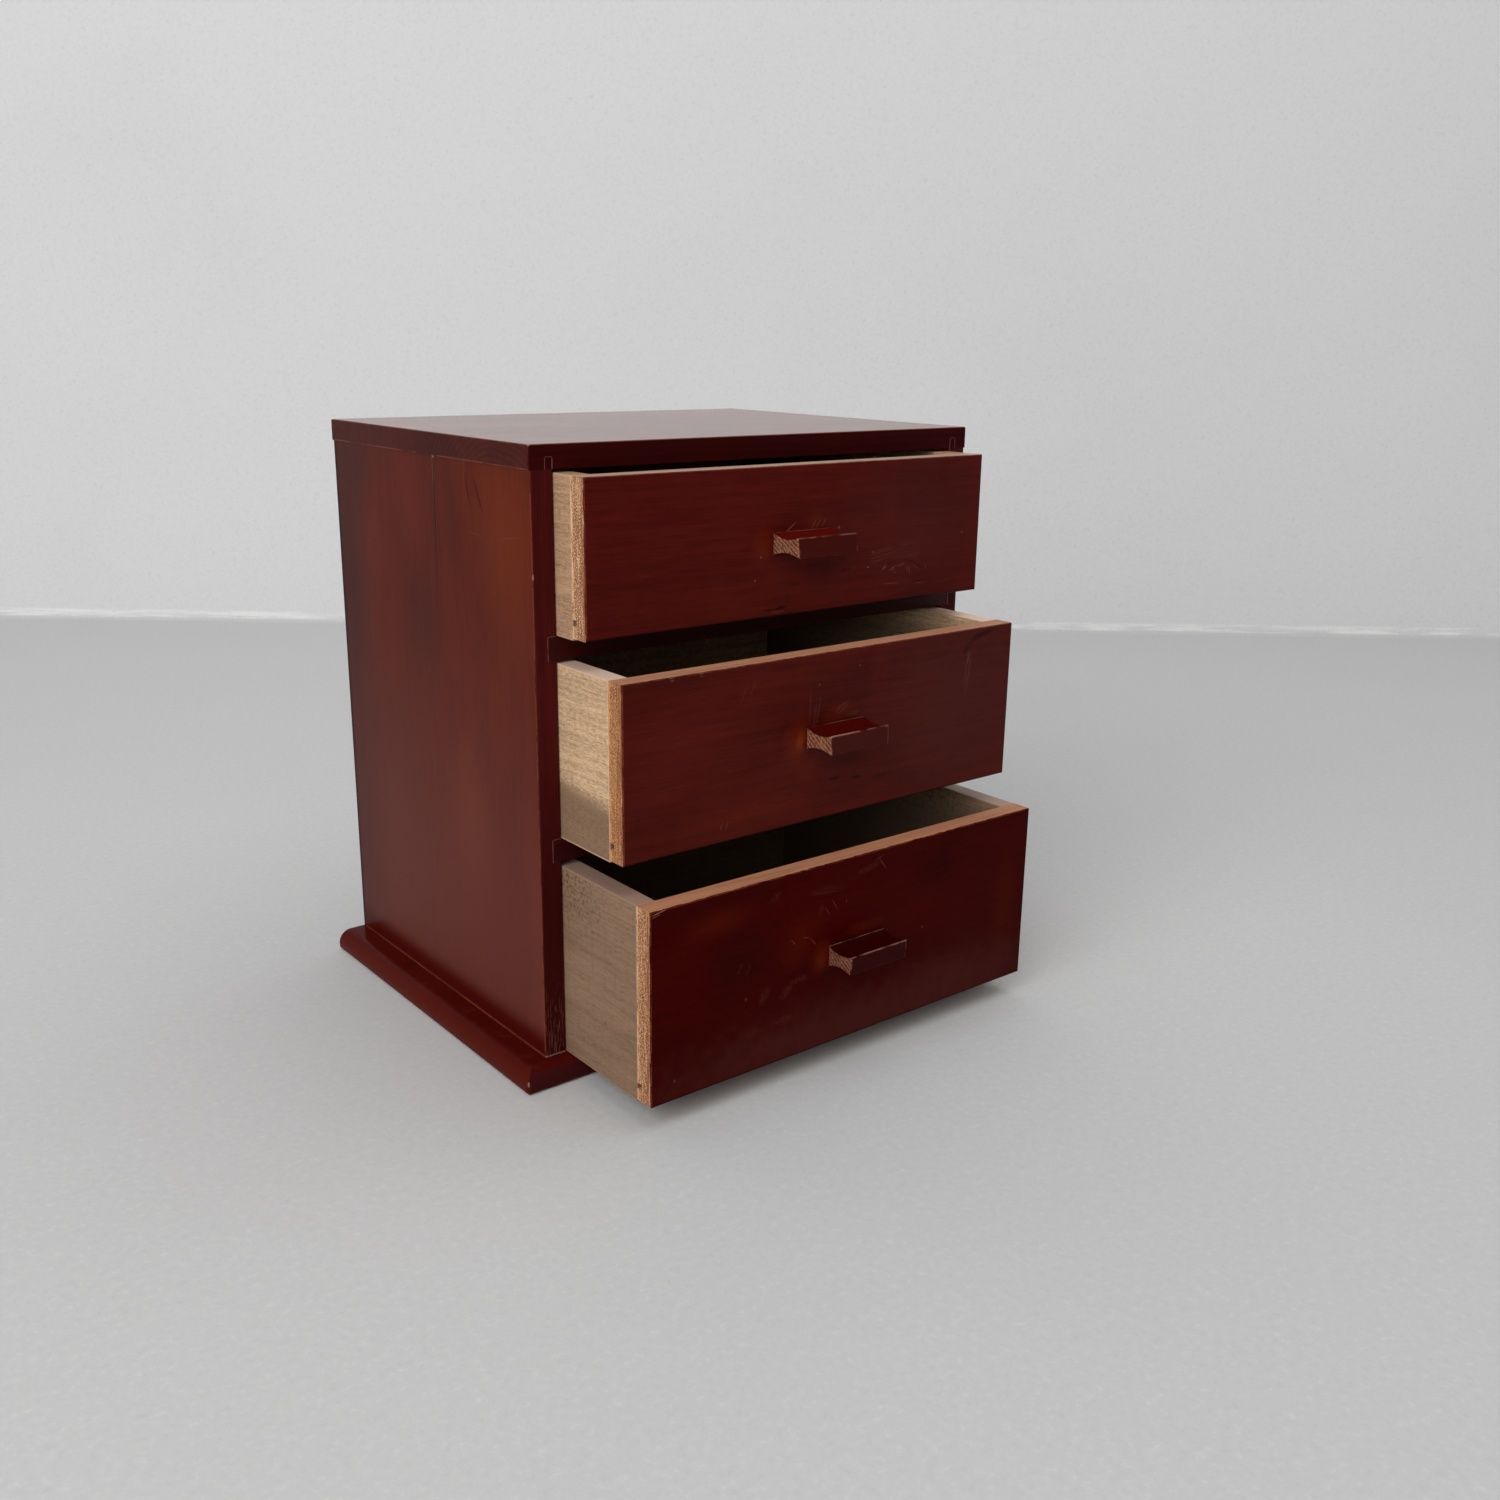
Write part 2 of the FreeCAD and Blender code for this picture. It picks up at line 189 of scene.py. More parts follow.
def woodGrain(f, grain, pith, ring, seed, sway=9.0):
    def drawn(name, step, detail):
        return f.noise(stretched(grain, *grainLook[name]), seed + step, detail)

    offsets = [f.axis[name] - middle for name, middle in zip([a for a in "xyz" if a != grain], pith)]
    radius = (offsets[0] * offsets[0] + offsets[1] * offsets[1]).math("SQRT")
    turn = ((radius + (drawn("wander", 0, 3) - 0.5) * sway) / ring).math("FRACT")
    return SimpleNamespace(
        late=turn.step(0.2, 0.9) * turn.step(1.0, 0.92),  # darkens slowly through the year and ends sharply
        fibre=drawn("fibre", 1, 2),
        fleck=drawn("fleck", 5, 2),
        streak=drawn("streak", 2, 3),
        pore=drawn("pore", 3, 1).step(0.6, 0.72),
        blotch=drawn("blotch", 4, 2),
    )


def dress(node, material):
    nodes[node].data.materials.clear()
    nodes[node].data.materials.append(material)


# Stained and varnished wood: the stain takes unevenly
def stainedColour(f, wood, look):
    tone = 0.5 + (wood.streak - 0.5) * look["streak"] + (wood.fibre - 0.5) * look["fibre"]
    tone = tone + (wood.blotch - 0.5) * look["blotch"] - wood.late * look["late"]
    colour = f.mix(look["deep"], look["bright"], tone.step(0, 1))
    return f.mix(colour, look["deep"], wood.pore * 0.3)


# Where edges are rubbed, the wood shows through in broken lines
def rubbed(f, node, width, seed):
    ragged = f.noise((6, 6, 6), seed, 5, 0.7)
    return (f.edge(node) + (ragged - 0.5) * width).step(width, width * 0.35) * ragged.step(0.4, 0.56)


rubbedWood = (0.24, 0.060, 0.022)
paleWood = (0.36, 0.20, 0.165)  # dry wood and old glue, in chips and along joints


# Bare planed wood
bareLook = {"light": (0.52, 0.36, 0.22), "dark": (0.30, 0.19, 0.11), "late": 0.3, "fibre": 1.0, "streak": 0.7,
            "fleck": 0.7, "blotch": 0.6, "pore": 0.45}


def bareColour(f, wood, look):
    tone = 0.6 + (wood.fibre - 0.5) * look["fibre"] + (wood.streak - 0.5) * look["streak"]
    tone = tone + (wood.blotch - 0.5) * look["blotch"] + (wood.fleck - 0.5) * look["fleck"]
    tone = tone - wood.late * look["late"]
    colour = f.mix(look["dark"], look["light"], tone.step(0, 1))
    pores = [value * look["pore"] for value in look["dark"]]
    return f.mix(colour, pores, wood.pore * 0.4)


# Marks are ellipses on a face: centre, half length, half width and slope in degrees
def markPlace(f, across, centre, half, slope):
    turn = {"x": (math.radians(slope), 0, 0), "y": (0, -math.radians(slope), 0)}[across]
    scale = {"x": (1000, *half), "y": (half[0], 1000, half[1])}[across]
    return f.mapped("TEXTURE", centre, turn, scale)


def markMask(f, place, soft, ragged=0.0, seed=0):  # 1 in the middle, 0 past the rim, which may wander
    away = f.vector("LENGTH", place)
    if ragged:
        away = away + (f.noise((6, 6, 6), seed, 4, 0.62) - 0.5) * ragged
    return away.step(1, soft)


def scuffMask(f, place, seed):  # feathered strokes along the mark's length
    strokes = f.noise((2.6, 1, 0.26), seed, 2, 0.5, place)
    return markMask(f, place, 0.45, 0.7, seed) * strokes.step(0.4, 0.62)


def chipMask(f, centre, half):  # a small hollow, as an ellipsoid
    return markMask(f, f.mapped("TEXTURE", centre, (0, 0, 0), half), 0.55)


# Sides: two boards each, glued edge to edge
sideLook = {
    "grain": "z",
    "boards": {
        "front": {"deep": (0.068, 0.0056, 0.0018), "bright": (0.136, 0.0175, 0.0042), "seed": 3,
                  "pith": (150, -40)},
        "rear": {"deep": (0.066, 0.0066, 0.0028), "bright": (0.130, 0.0162, 0.0060), "seed": 11,
                 "pith": (146, 60)},
    },
    "otherSide": 40,  # added to the seeds on the right
    "ring": 4.6, "streak": 0.3, "fibre": 0.6, "blotch": 0.7, "late": 0.1, "rough": 0.28, "specular": 0.05,
    # Patches: depth, height, half length, half width, slope, tint, strength
    "patches": [
        (-62, 212, 58, 40, 86, (0.166, 0.0245, 0.0038), 0.58),
        (16, 218, 42, 18, 88, (0.130, 0.0140, 0.0050), 0.5),
        (-16, 212, 46, 12, 88, (0.076, 0.0110, 0.0050), 0.4),
        (4, 168, 40, 26, 80, (0.048, 0.0070, 0.0046), 0.45),
        (82, 180, 100, 26, 88, (0.045, 0.0085, 0.0068), 0.6),
        (-74, 90, 80, 12, 90, (0.140, 0.0180, 0.0040), 0.4),
        (-26, 92, 46, 26, 80, (0.180, 0.0390, 0.0130), 0.45),
        (68, 228, 34, 26, 0, (0.046, 0.0105, 0.0090), 0.55),
        (40, 70, 60, 40, 80, (0.100, 0.0180, 0.0110), 0.4),
    ],
    # Bands: where each begins and where it is full
    "foot": {"tint": (0.138, 0.0340, 0.0240), "heights": (185, 40), "strength": 0.6},  # painted haze of light, paler and greyer low down
    "rear": {"tint": (0.050, 0.0120, 0.0098), "depths": (46, 84), "strength": 0.5},
    # Painted shade: a dark line down the rear edge
    "rearShadeLine": {"tint": (0.016, 0.0022, 0.0018), "width": (3.0, 1.2), "strength": 0.85},
    # Painted shade at the foot, from a little above the base, where the base shades the side and the glossy
    # side mirrors the dark base
    "footShade": {"tint": (0.062, 0.0006, 0.0002), "heights": (23, 13.5), "rise": (0.5, 1.4), "strength": 0.9},
    # The glue line is open near the top and dies away downwards; a thin lighter line runs along one lip
    "seam": {"tint": (0.022, 0.0032, 0.0020), "fade": (172, 212), "flank": (150, 200)},
    "lip": {"behind": 0.9, "heights": (220, 234), "strength": 0.5},
    # Lines on the left side: depth, height, half length, half width, slope
    "lines": {
        "figure": {"tint": (0.030, 0.0034, 0.0018), "soft": 0.4, "strength": 0.75,
                   "marks": [(-41, 225.5, 10, 0.9, 64), (-33, 226, 9, 0.7, 72)]},
        "scratches": {"tint": (0.26, 0.085, 0.050), "soft": 0.2, "strength": 0.28,
                      "marks": [(-64, 211.8, 13, 0.28, -9), (-38, 210.5, 8, 0.28, 4)]},
    },
    # Chips of the left side: depth, height, half sizes
    "chips": [(caseFront, 199.5, (0.6, 0.6, 2.0)), (seamPlace, 237.2, (1.0, 0.9, 0.8))],
    "jointLine": 0.26,  # width of the pale lines round the shelf ends
    "stile": {"deep": (0.042, 0.0030, 0.0029), "bright": (0.094, 0.0098, 0.0094)},
    "stileShadeHeights": (110, 70), "tornHeights": (46, 14),
    "crown": (0.036, 0.0017, 0.0017), "torn": (0.24, 0.095, 0.065),
    "bareDepths": (3, 9), "bareAcross": (105, 104),  # where the stain ends on the inner faces
}


def housingLines(f, sign):  # pale lines beside and above the shelf ends
    lines = None
    for name in ("lower_shelf", "upper_shelf"):
        low, high = boxOf(name)
        across = f.axis["x"] * sign - high.x
        upright = abs(f.axis["z"] - (low.z + high.z) / 2) - (high.z - low.z) / 2
        beside = abs(across).step(sideLook["jointLine"], 0.1) * upright.step(0.2, -0.2)
        above = abs(f.axis["z"] - high.z).step(sideLook["jointLine"], 0.1) * across.step(0.2, -0.2)
        line = beside.most(above * 0.6)
        lines = line if lines is None else lines.most(line)
    return lines * f.noise((4, 4, 4), 19, 3).step(0.3, 0.5)


def stileColour(f, colour, wood, look, sign):  # the front edge: dark, torn near its foot
    stile = f.facing["y"].step(-0.5, -0.85)
    edge = stainedColour(f, wood, {**look, **look["stile"]})
    # Painted shadow: the front edge is darker from 110 mm down
    edge = f.mix(edge, look["stile"]["deep"], f.axis["z"].step(*look["stileShadeHeights"]) * 0.7)
    edge = f.mix(edge, paleWood, housingLines(f, sign) * 0.75)
    torn = f.noise((0.32, 1, 4.2), 77, 2).step(0.56, 0.64) * f.axis["z"].step(*look["tornHeights"])
    edge = f.mix(edge, look["torn"], torn * 0.6)
    edge = f.mix(edge, paleWood, f.axis["z"].step(baseTop + 0.8, baseTop + 0.35) * 0.8)
    edge = f.mix(edge, look["crown"], f.axis["z"].step(topUnder - 0.2, topUnder + 0.2))
    return f.mix(colour, edge, stile)


def sideBands(f, colour, look):  # tones that follow the height and the depth: a painted haze of light low down, a darker rear and painted shade at the foot
    foot, rear, footShade = look["foot"], look["rear"], look["footShade"]
    colour = f.mix(colour, foot["tint"], f.axis["z"].step(*foot["heights"]) * foot["strength"])
    colour = f.mix(colour, rear["tint"], f.axis["y"].step(*rear["depths"]) * rear["strength"])
    above = (f.axis["z"] - baseTop).step(*footShade["rise"])
    return f.mix(colour, footShade["tint"], f.axis["z"].step(*footShade["heights"]) * above * footShade["strength"])


def sideFinish(side, board):
    node = f"side_{side}_{board}_board"
    look = {**sideLook, **sideLook["boards"][board]}
    left = side == "left"
    sign = -1 if left else 1
    face = boxOf(node)[0 if left else 1].x
    f = Finish(f"{node}_finish")
    pith = (look["pith"][0] * sign, look["pith"][1])
    wood = woodGrain(f, look["grain"], pith, look["ring"], look["seed"] + (0 if left else look["otherSide"]))
    colour = stainedColour(f, wood, look)
    for index, (y, z, length, width, slope, tint, strength) in enumerate(look["patches"]):
        place = markPlace(f, "x", (face, y, z), (length, width), slope)
        colour = f.mix(colour, tint, markMask(f, place, 0, 0.5, index + 40) * strength)
    colour = sideBands(f, colour, look)
    grainLine = (wood.fibre - 0.5) * 0.5 + 0.5
    colour = f.mix(colour, look["deep"], grainLine.step(0.55, 0.3) * 0.25)
    seam = abs(f.axis["y"] - seamPlace)
    seamLine = seam.step(0.75, 0.25) * f.axis["z"].step(*look["seam"]["fade"])
    flank = seam.step(4, 0.5) * f.axis["z"].step(*look["seam"]["flank"]) * 0.3
    colour = f.mix(colour, look["seam"]["tint"], seamLine.most(flank) * 0.85)
    lip = abs(f.axis["y"] - (seamPlace + look["lip"]["behind"])).step(0.6, 0.2)
    lip = lip * f.axis["z"].step(*look["lip"]["heights"])
    colour = f.mix(colour, rubbedWood, lip * look["lip"]["strength"])
    if left:
        for line in look["lines"].values():
            for y, z, length, width, slope in line["marks"]:
                place = markPlace(f, "x", (face, y, z), (length, width), slope)
                colour = f.mix(colour, line["tint"], markMask(f, place, line["soft"]) * line["strength"])
    wear = rubbed(f, node, 0.85, look["seed"] + 7) * seam.step(3, 6)
    colour = f.mix(colour, rubbedWood, wear * 0.8)
    if board == "rear":
        # Painted shade along the rear edge
        arris = (boxOf(node)[1].y - f.axis["y"]).step(*look["rearShadeLine"]["width"])
        colour = f.mix(colour, look["rearShadeLine"]["tint"], arris * look["rearShadeLine"]["strength"])
    else:
        colour = stileColour(f, colour, wood, look, sign)
    if left:
        for depth, height, half in look["chips"]:
            colour = f.mix(colour, paleWood, chipMask(f, (face, depth, height), half) * 0.75)
    inner = (f.axis["x"] * sign).step(*look["bareAcross"]) * f.facing["y"].step(-0.85, -0.5)
    behind = (f.axis["y"] - caseFront).step(*look["bareDepths"])
    colour = f.mix(colour, bareColour(f, wood, bareLook), inner * behind)
    rough = look["rough"] + (wood.blotch - 0.5) * 0.1 + wood.fibre * 0.05 + wear * 0.2 + inner * 0.3
    height = wood.fibre * 0.3 - wood.pore * 0.3 - seamLine * 2 + wood.blotch * 3
    return f.surface(colour, rough, height, 0.03, look["specular"])


for side in ("left", "right"):
    for board in ("front", "rear"):
        dress(f"side_{side}_{board}_board", sideFinish(side, board))
print("sides finished")


# Top and base
topLook = {
    "deep": (0.120, 0.0230, 0.0120), "bright": (0.260, 0.072, 0.036), "streak": 0.6, "fibre": 0.35,
    "blotch": 1.0, "late": 0.15, "pith": (-58, 205), "ring": 2.6, "seed": 21, "rough": 0.3, "specular": 0.05,
    "gloss": 0.69, "glossRough": 0.16,  # of the polish on the upper face alone
    "end": {"deep": (0.042, 0.0056, 0.0038), "bright": (0.090, 0.0135, 0.0085), "late": 0.28, "blotch": 1.2},
    "fore": {"deep": (0.026, 0.0009, 0.0010), "bright": (0.056, 0.0028, 0.0028)},
    "lip": (0.20, 0.060, 0.038),  # rubbed along the lower edge of the ends
    "cornerChip": (1.6, 1.0, 0.8),
}
baseLook = {
    "deep": (0.050, 0.0018, 0.0010), "bright": (0.100, 0.0066, 0.0030), "streak": 0.3, "fibre": 0.3,
    "blotch": 0.4, "late": 0.0, "pith": (-20, -60), "ring": 4.5, "seed": 33, "rough": 0.16, "specular": 0.03,
    "roundsLit": {"x": (0.092, 0.0100, 0.0050), "y": (0.045, 0.0080, 0.0100)},  # painted highlight on the rounds, at the ends and at the front
    "thin": (0.13, 0.016, 0.007), "thinDepth": 0.9,  # painted highlight where the round begins
    "rubbed": (0.24, 0.105, 0.080),  # painted reflection of the floor along the foot
    "chip": {"centre": (-122.5, -87.6, 4.8), "half": (0.6, 0.6, 1.5)},
}
tongueLook = {"inner": 101.0, "thickness": 2.8, "height": 4.3}  # the sides' tongues, in the top's front edge


def tongueLines(f, rise):  # pale lines round the ends of the tongues
    inner, height = tongueLook["inner"], tongueLook["height"]
    outer = inner + tongueLook["thickness"]
    across = abs(f.axis["x"])
    sides = abs(across - inner).step(0.3, 0.1).most(abs(across - outer).step(0.3, 0.1) * 0.6)
    crown = abs(rise - height).step(0.25, 0.1) * abs(across - (inner + outer) / 2).step(1.6, 1.2)
    return (sides * rise.step(height, height - 0.6)).most(crown * 0.5)


def topFinish():
    low, high = boxOf("top_board")
    f = Finish("top_board_finish")
    wood = woodGrain(f, "x", topLook["pith"], topLook["ring"], topLook["seed"], sway=5)
    colour = stainedColour(f, wood, topLook)
    rise = f.axis["z"] - low.z
    ends = abs(f.facing["x"]).step(0.5, 0.8)
    endGrain = stainedColour(f, wood, {**topLook, **topLook["end"]})
    lip = rise.step(0.7, 0.3) * f.noise((8, 8, 8), 23, 3).step(0.35, 0.6)
    colour = f.mix(colour, f.mix(endGrain, topLook["lip"], lip * 0.6), ends)
    fore = f.facing["y"].step(-0.5, -0.85)
    colour = f.mix(colour, stainedColour(f, wood, {**topLook, **topLook["fore"]}), fore)
    colour = f.mix(colour, paleWood, tongueLines(f, rise) * fore * 0.75)
    wear = rubbed(f, "top_board", 0.5, 27) * rise.step(4, 7)
    corner = chipMask(f, (low.x, low.y, high.z), topLook["cornerChip"])
    colour = f.mix(f.mix(colour, rubbedWood, wear * 0.5), paleWood, corner * 0.7)
    upper = f.facing["z"].step(0.8, 0.95)
    rough = topLook["rough"] + (wood.blotch - 0.5) * 0.12 + wood.fibre * 0.05 + wear * 0.2
    height = wood.fibre * 0.25 - wood.pore * 0.25 + wood.blotch * 2
    gloss = upper * (topLook["gloss"] + (wood.blotch - 0.5) * 0.2)
    return f.surface(colour, rough, height, 0.03, topLook["specular"], gloss, topLook["glossRough"])


def baseFinish():
    f = Finish("base_board_finish")
    wood = woodGrain(f, "x", baseLook["pith"], baseLook["ring"], baseLook["seed"])
    colour = stainedColour(f, wood, baseLook)
    ragged = f.noise((5, 5, 5), 37, 4, 0.65)
    # Painted highlight along the top, where the round begins
    rim = f.axis["z"].step(baseTop - baseLook["thinDepth"], baseTop) * ragged.step(0.5, 0.7)
    colour = f.mix(colour, baseLook["thin"], rim * 0.35)
    # Painted highlight where the rounds face the ends and the front
    for name, tint in baseLook["roundsLit"].items():
        colour = f.mix(colour, tint, abs(f.facing[name]).step(0.4, 0.85) * 0.75)
    # Painted reflection of the floor, a ragged light line along the foot
    foot = f.axis["z"].step(1.5, 0.5) * ragged.step(0.3, 0.55)
    colour = f.mix(colour, baseLook["rubbed"], foot * 0.45)
    colour = f.mix(colour, paleWood, chipMask(f, **baseLook["chip"]) * 0.6)
    under = f.facing["z"].step(-0.8, -0.95)
    colour = f.mix(colour, bareColour(f, wood, bareLook), under)
    rough = baseLook["rough"] + (wood.blotch - 0.5) * 0.1 + under * 0.45 + wood.fibre * 0.04
    height = wood.fibre * 0.25 - wood.pore * 0.25 + wood.blotch * 3
    return f.surface(colour, rough, height, 0.03, baseLook["specular"])


dress("top_board", topFinish())
dress("base_board", baseFinish())
print("top and base finished")


# Shelves: bare, with a stained front edge
shelfLook = {**baseLook, "deep": (0.022, 0.0012, 0.0010), "bright": (0.060, 0.0046, 0.0030), "ring": 3.6,
             "pith": (20, -50), "stained": (3.5, 1.5), "seeds": {"lower_shelf": 51, "upper_shelf": 57}}


def shelfFinish(name, seed):
    f = Finish(f"{name}_finish")
    pith = (shelfLook["pith"][0], boxOf(name)[0].z + shelfLook["pith"][1])
    wood = woodGrain(f, "x", pith, shelfLook["ring"], seed)
    edge = (f.axis["y"] - caseFront).step(*shelfLook["stained"])
    colour = f.mix(bareColour(f, wood, bareLook), stainedColour(f, wood, shelfLook), edge)
    return f.surface(colour, 0.66 - edge * 0.24, wood.fibre - wood.pore * 0.6, 0.04, 0.15)


for name, seed in shelfLook["seeds"].items():
    dress(name, shelfFinish(name, seed))


# Back panel: thin wood with a thin dull stain
backLook = {"deep": (0.090, 0.023, 0.012), "bright": (0.21, 0.071, 0.034), "streak": 0.8, "fibre": 0.6,
            "blotch": 1.0, "late": 0.3, "pith": (30, 140), "ring": 6.5, "seed": 63, "rough": 0.6}


def backFinish():
    f = Finish("back_panel_finish")
    wood = woodGrain(f, "z", backLook["pith"], backLook["ring"], backLook["seed"])
    colour = stainedColour(f, wood, backLook)
    rough = backLook["rough"] + (wood.blotch - 0.5) * 0.2
    return f.surface(colour, rough, wood.fibre - wood.pore * 0.6, 0.05, 0.2)


dress("back_panel", backFinish())
print("shelves and back finished")


# Drawer boxes
boxLook = {
    # The lower drawer's wood is drawn darker than the middle one's: painted shadow over the lower part of the
    # chest
    "lower": {"seed": 71, "light": (0.330, 0.206, 0.128), "dark": (0.180, 0.106, 0.066), "late": 0.10,
              "fleck": 0.5, "shade": 0.0, "mottle": 0.8, "rim": (0.43, 0.270, 0.205)},
    "middle": {"seed": 81, "light": (0.80, 0.540, 0.330), "dark": (0.40, 0.250, 0.146), "late": 0.14,
               "fleck": 1.2, "shade": 0.85, "mottle": 0.0, "rim": (0.92, 0.680, 0.540)},
    "upper": {"seed": 91, "light": (0.58, 0.350, 0.210), "dark": (0.26, 0.150, 0.088), "late": 0.16,
              "fleck": 1.1, "shade": 0.0, "mottle": 0.0},
    "ring": 1.7, "fibre": 0.7, "streak": 0.5,
    "saw": 0.32,  # faint marks of the blade, across the grain
    "paintedShadowGrey": (0.225, 0.130, 0.078),  # painted shadow on the lower part of the middle drawer's side
    "shadeSlope": -0.0022,  # its border slopes down towards the front
    "mottled": (0.075, 0.050, 0.034),  # damp specks near the lower drawer's upper rear
    "innerShade": {"tint": (0.125, 0.083, 0.052), "strength": {"x": 0.6, "y": 0.15}},  # painted shade inside
    "farShade": {"tint": (0.024, 0.016, 0.010), "depths": (-25, 45), "strength": 0.4},  # and deeper painted shade far in
}
bottomLook = {**bareLook, "light": (0.26, 0.17, 0.10), "dark": (0.13, 0.082, 0.046), "late": 0.25,
              "ring": 5.0}


def insidePaintedShade(f, colour, high, axis, sign, depths):  # painted shade on an inner face, below the rim, deeper far in from the case's front
    innerShade, farShade = boxLook["innerShade"], boxLook["farShade"]
    inside = (f.axis[axis] * sign).step(*depths) * (high.z - f.axis["z"]).step(1, 14)
    colour = f.mix(colour, innerShade["tint"], inside * innerShade["strength"][axis])
    if axis == "x":
        farIn = (f.axis["y"] - caseFront).step(*farShade["depths"])
        colour = f.mix(colour, farShade["tint"], inside * farIn * farShade["strength"])
    return colour


def bareFinish(node, grain, pith, seed, look=bareLook, ring=3.0, inward=None):
    low, high = boxOf(node)
    f = Finish(f"{node}_finish")
    wood = woodGrain(f, grain, pith, ring, seed, sway=5)
    colour = bareColour(f, wood, look)
    saw = f.noise(stretched("z", 14, 0.7), seed + 6, 2)
    colour = f.mix(colour, look["dark"], saw.step(0.5, 0.75) * look.get("saw", 0))
    rise = (f.axis["z"] - low.z) / (high.z - low.z)
    # Painted shadow over the lower part of the side, its ragged border sloping down towards the front
    if look.get("shade"):
        border = rise + (f.axis["y"] - low.y) * look["shadeSlope"]
        border = border + (wood.blotch - 0.5) * 0.06 + (wood.fleck - 0.5) * 0.12
        darker = [value * 0.55 for value in look["paintedShadowGrey"]]
        paintedShadowGrey = f.mix(look["paintedShadowGrey"], darker, wood.fleck.step(0.42, 0.68))
        colour = f.mix(colour, paintedShadowGrey, border.step(0.37, 0.22) * look["shade"])
    if look.get("mottle"):
        specks = f.noise((1.6, 1.6, 1.6), seed + 8, 3, 0.6).step(0.5, 0.64)
        corner = rise.step(0.5, 0.95) * (caseFront - f.axis["y"]).step(46, 2)
        colour = f.mix(colour, look["mottled"], specks * corner * look["mottle"])
    arris = (f.edge(node) + (wood.fibre - 0.5) * 0.6).step(0.7, 0.3)
    colour = f.mix(colour, look["light"], arris * 0.5)
    upward = f.facing["z"].step(0.7, 0.95)
    # Painted sheen: the upper edges are drawn paler in the rim colour
    if look.get("rim"):
        colour = f.mix(colour, look["rim"], upward * (0.6 + wood.fibre * 0.4))
    if inward:
        colour = insidePaintedShade(f, colour, high, *inward)
    rough = 0.66 + (wood.fibre - 0.5) * 0.2
    height = wood.fibre + wood.fleck * 0.5 - wood.pore * 0.8
    return f.surface(colour, rough, height, 0.05, 0.12, upward * 0.6, 0.4)  # rims are polished by hands


for name in drawerNames:
    look = {**bareLook, **boxLook, **boxLook[name]}
    middle = sum(corner.z for corner in boxOf(f"{name}_drawer_left_side")) / 2
    for index, side in enumerate(("left", "right")):
        node = f"{name}_drawer_{side}_side"
        sign = index * 2 - 1
        inner = min(abs(corner.x) for corner in boxOf(node))
        inward = ("x", sign, (inner + 1.1, inner + 0.3))
        pith = (sign * 60, middle - 18)
        dress(node, bareFinish(node, "y", pith, look["seed"] + index * 3, look, look["ring"], inward))
    back = f"{name}_drawer_back"
    inner = -boxOf(back)[0].y
    plain = {**look, "shade": 0, "mottle": 0}
    inward = ("y", -1, (inner - 1, inner - 0.3))
    dress(back, bareFinish(back, "x", (90, middle - 25), look["seed"] + 7, plain, inward=inward))
    bottom = f"{name}_drawer_bottom"
    pith = (40, middle - 90)
    dress(bottom, bareFinish(bottom, "x", pith, look["seed"] + 9, bottomLook, bottomLook["ring"]))
    tongues = f"{name}_drawer_loose_tongues"
    dress(tongues, bareFinish(tongues, "y", (30, middle), look["seed"] + 5))
print("drawer boxes finished")
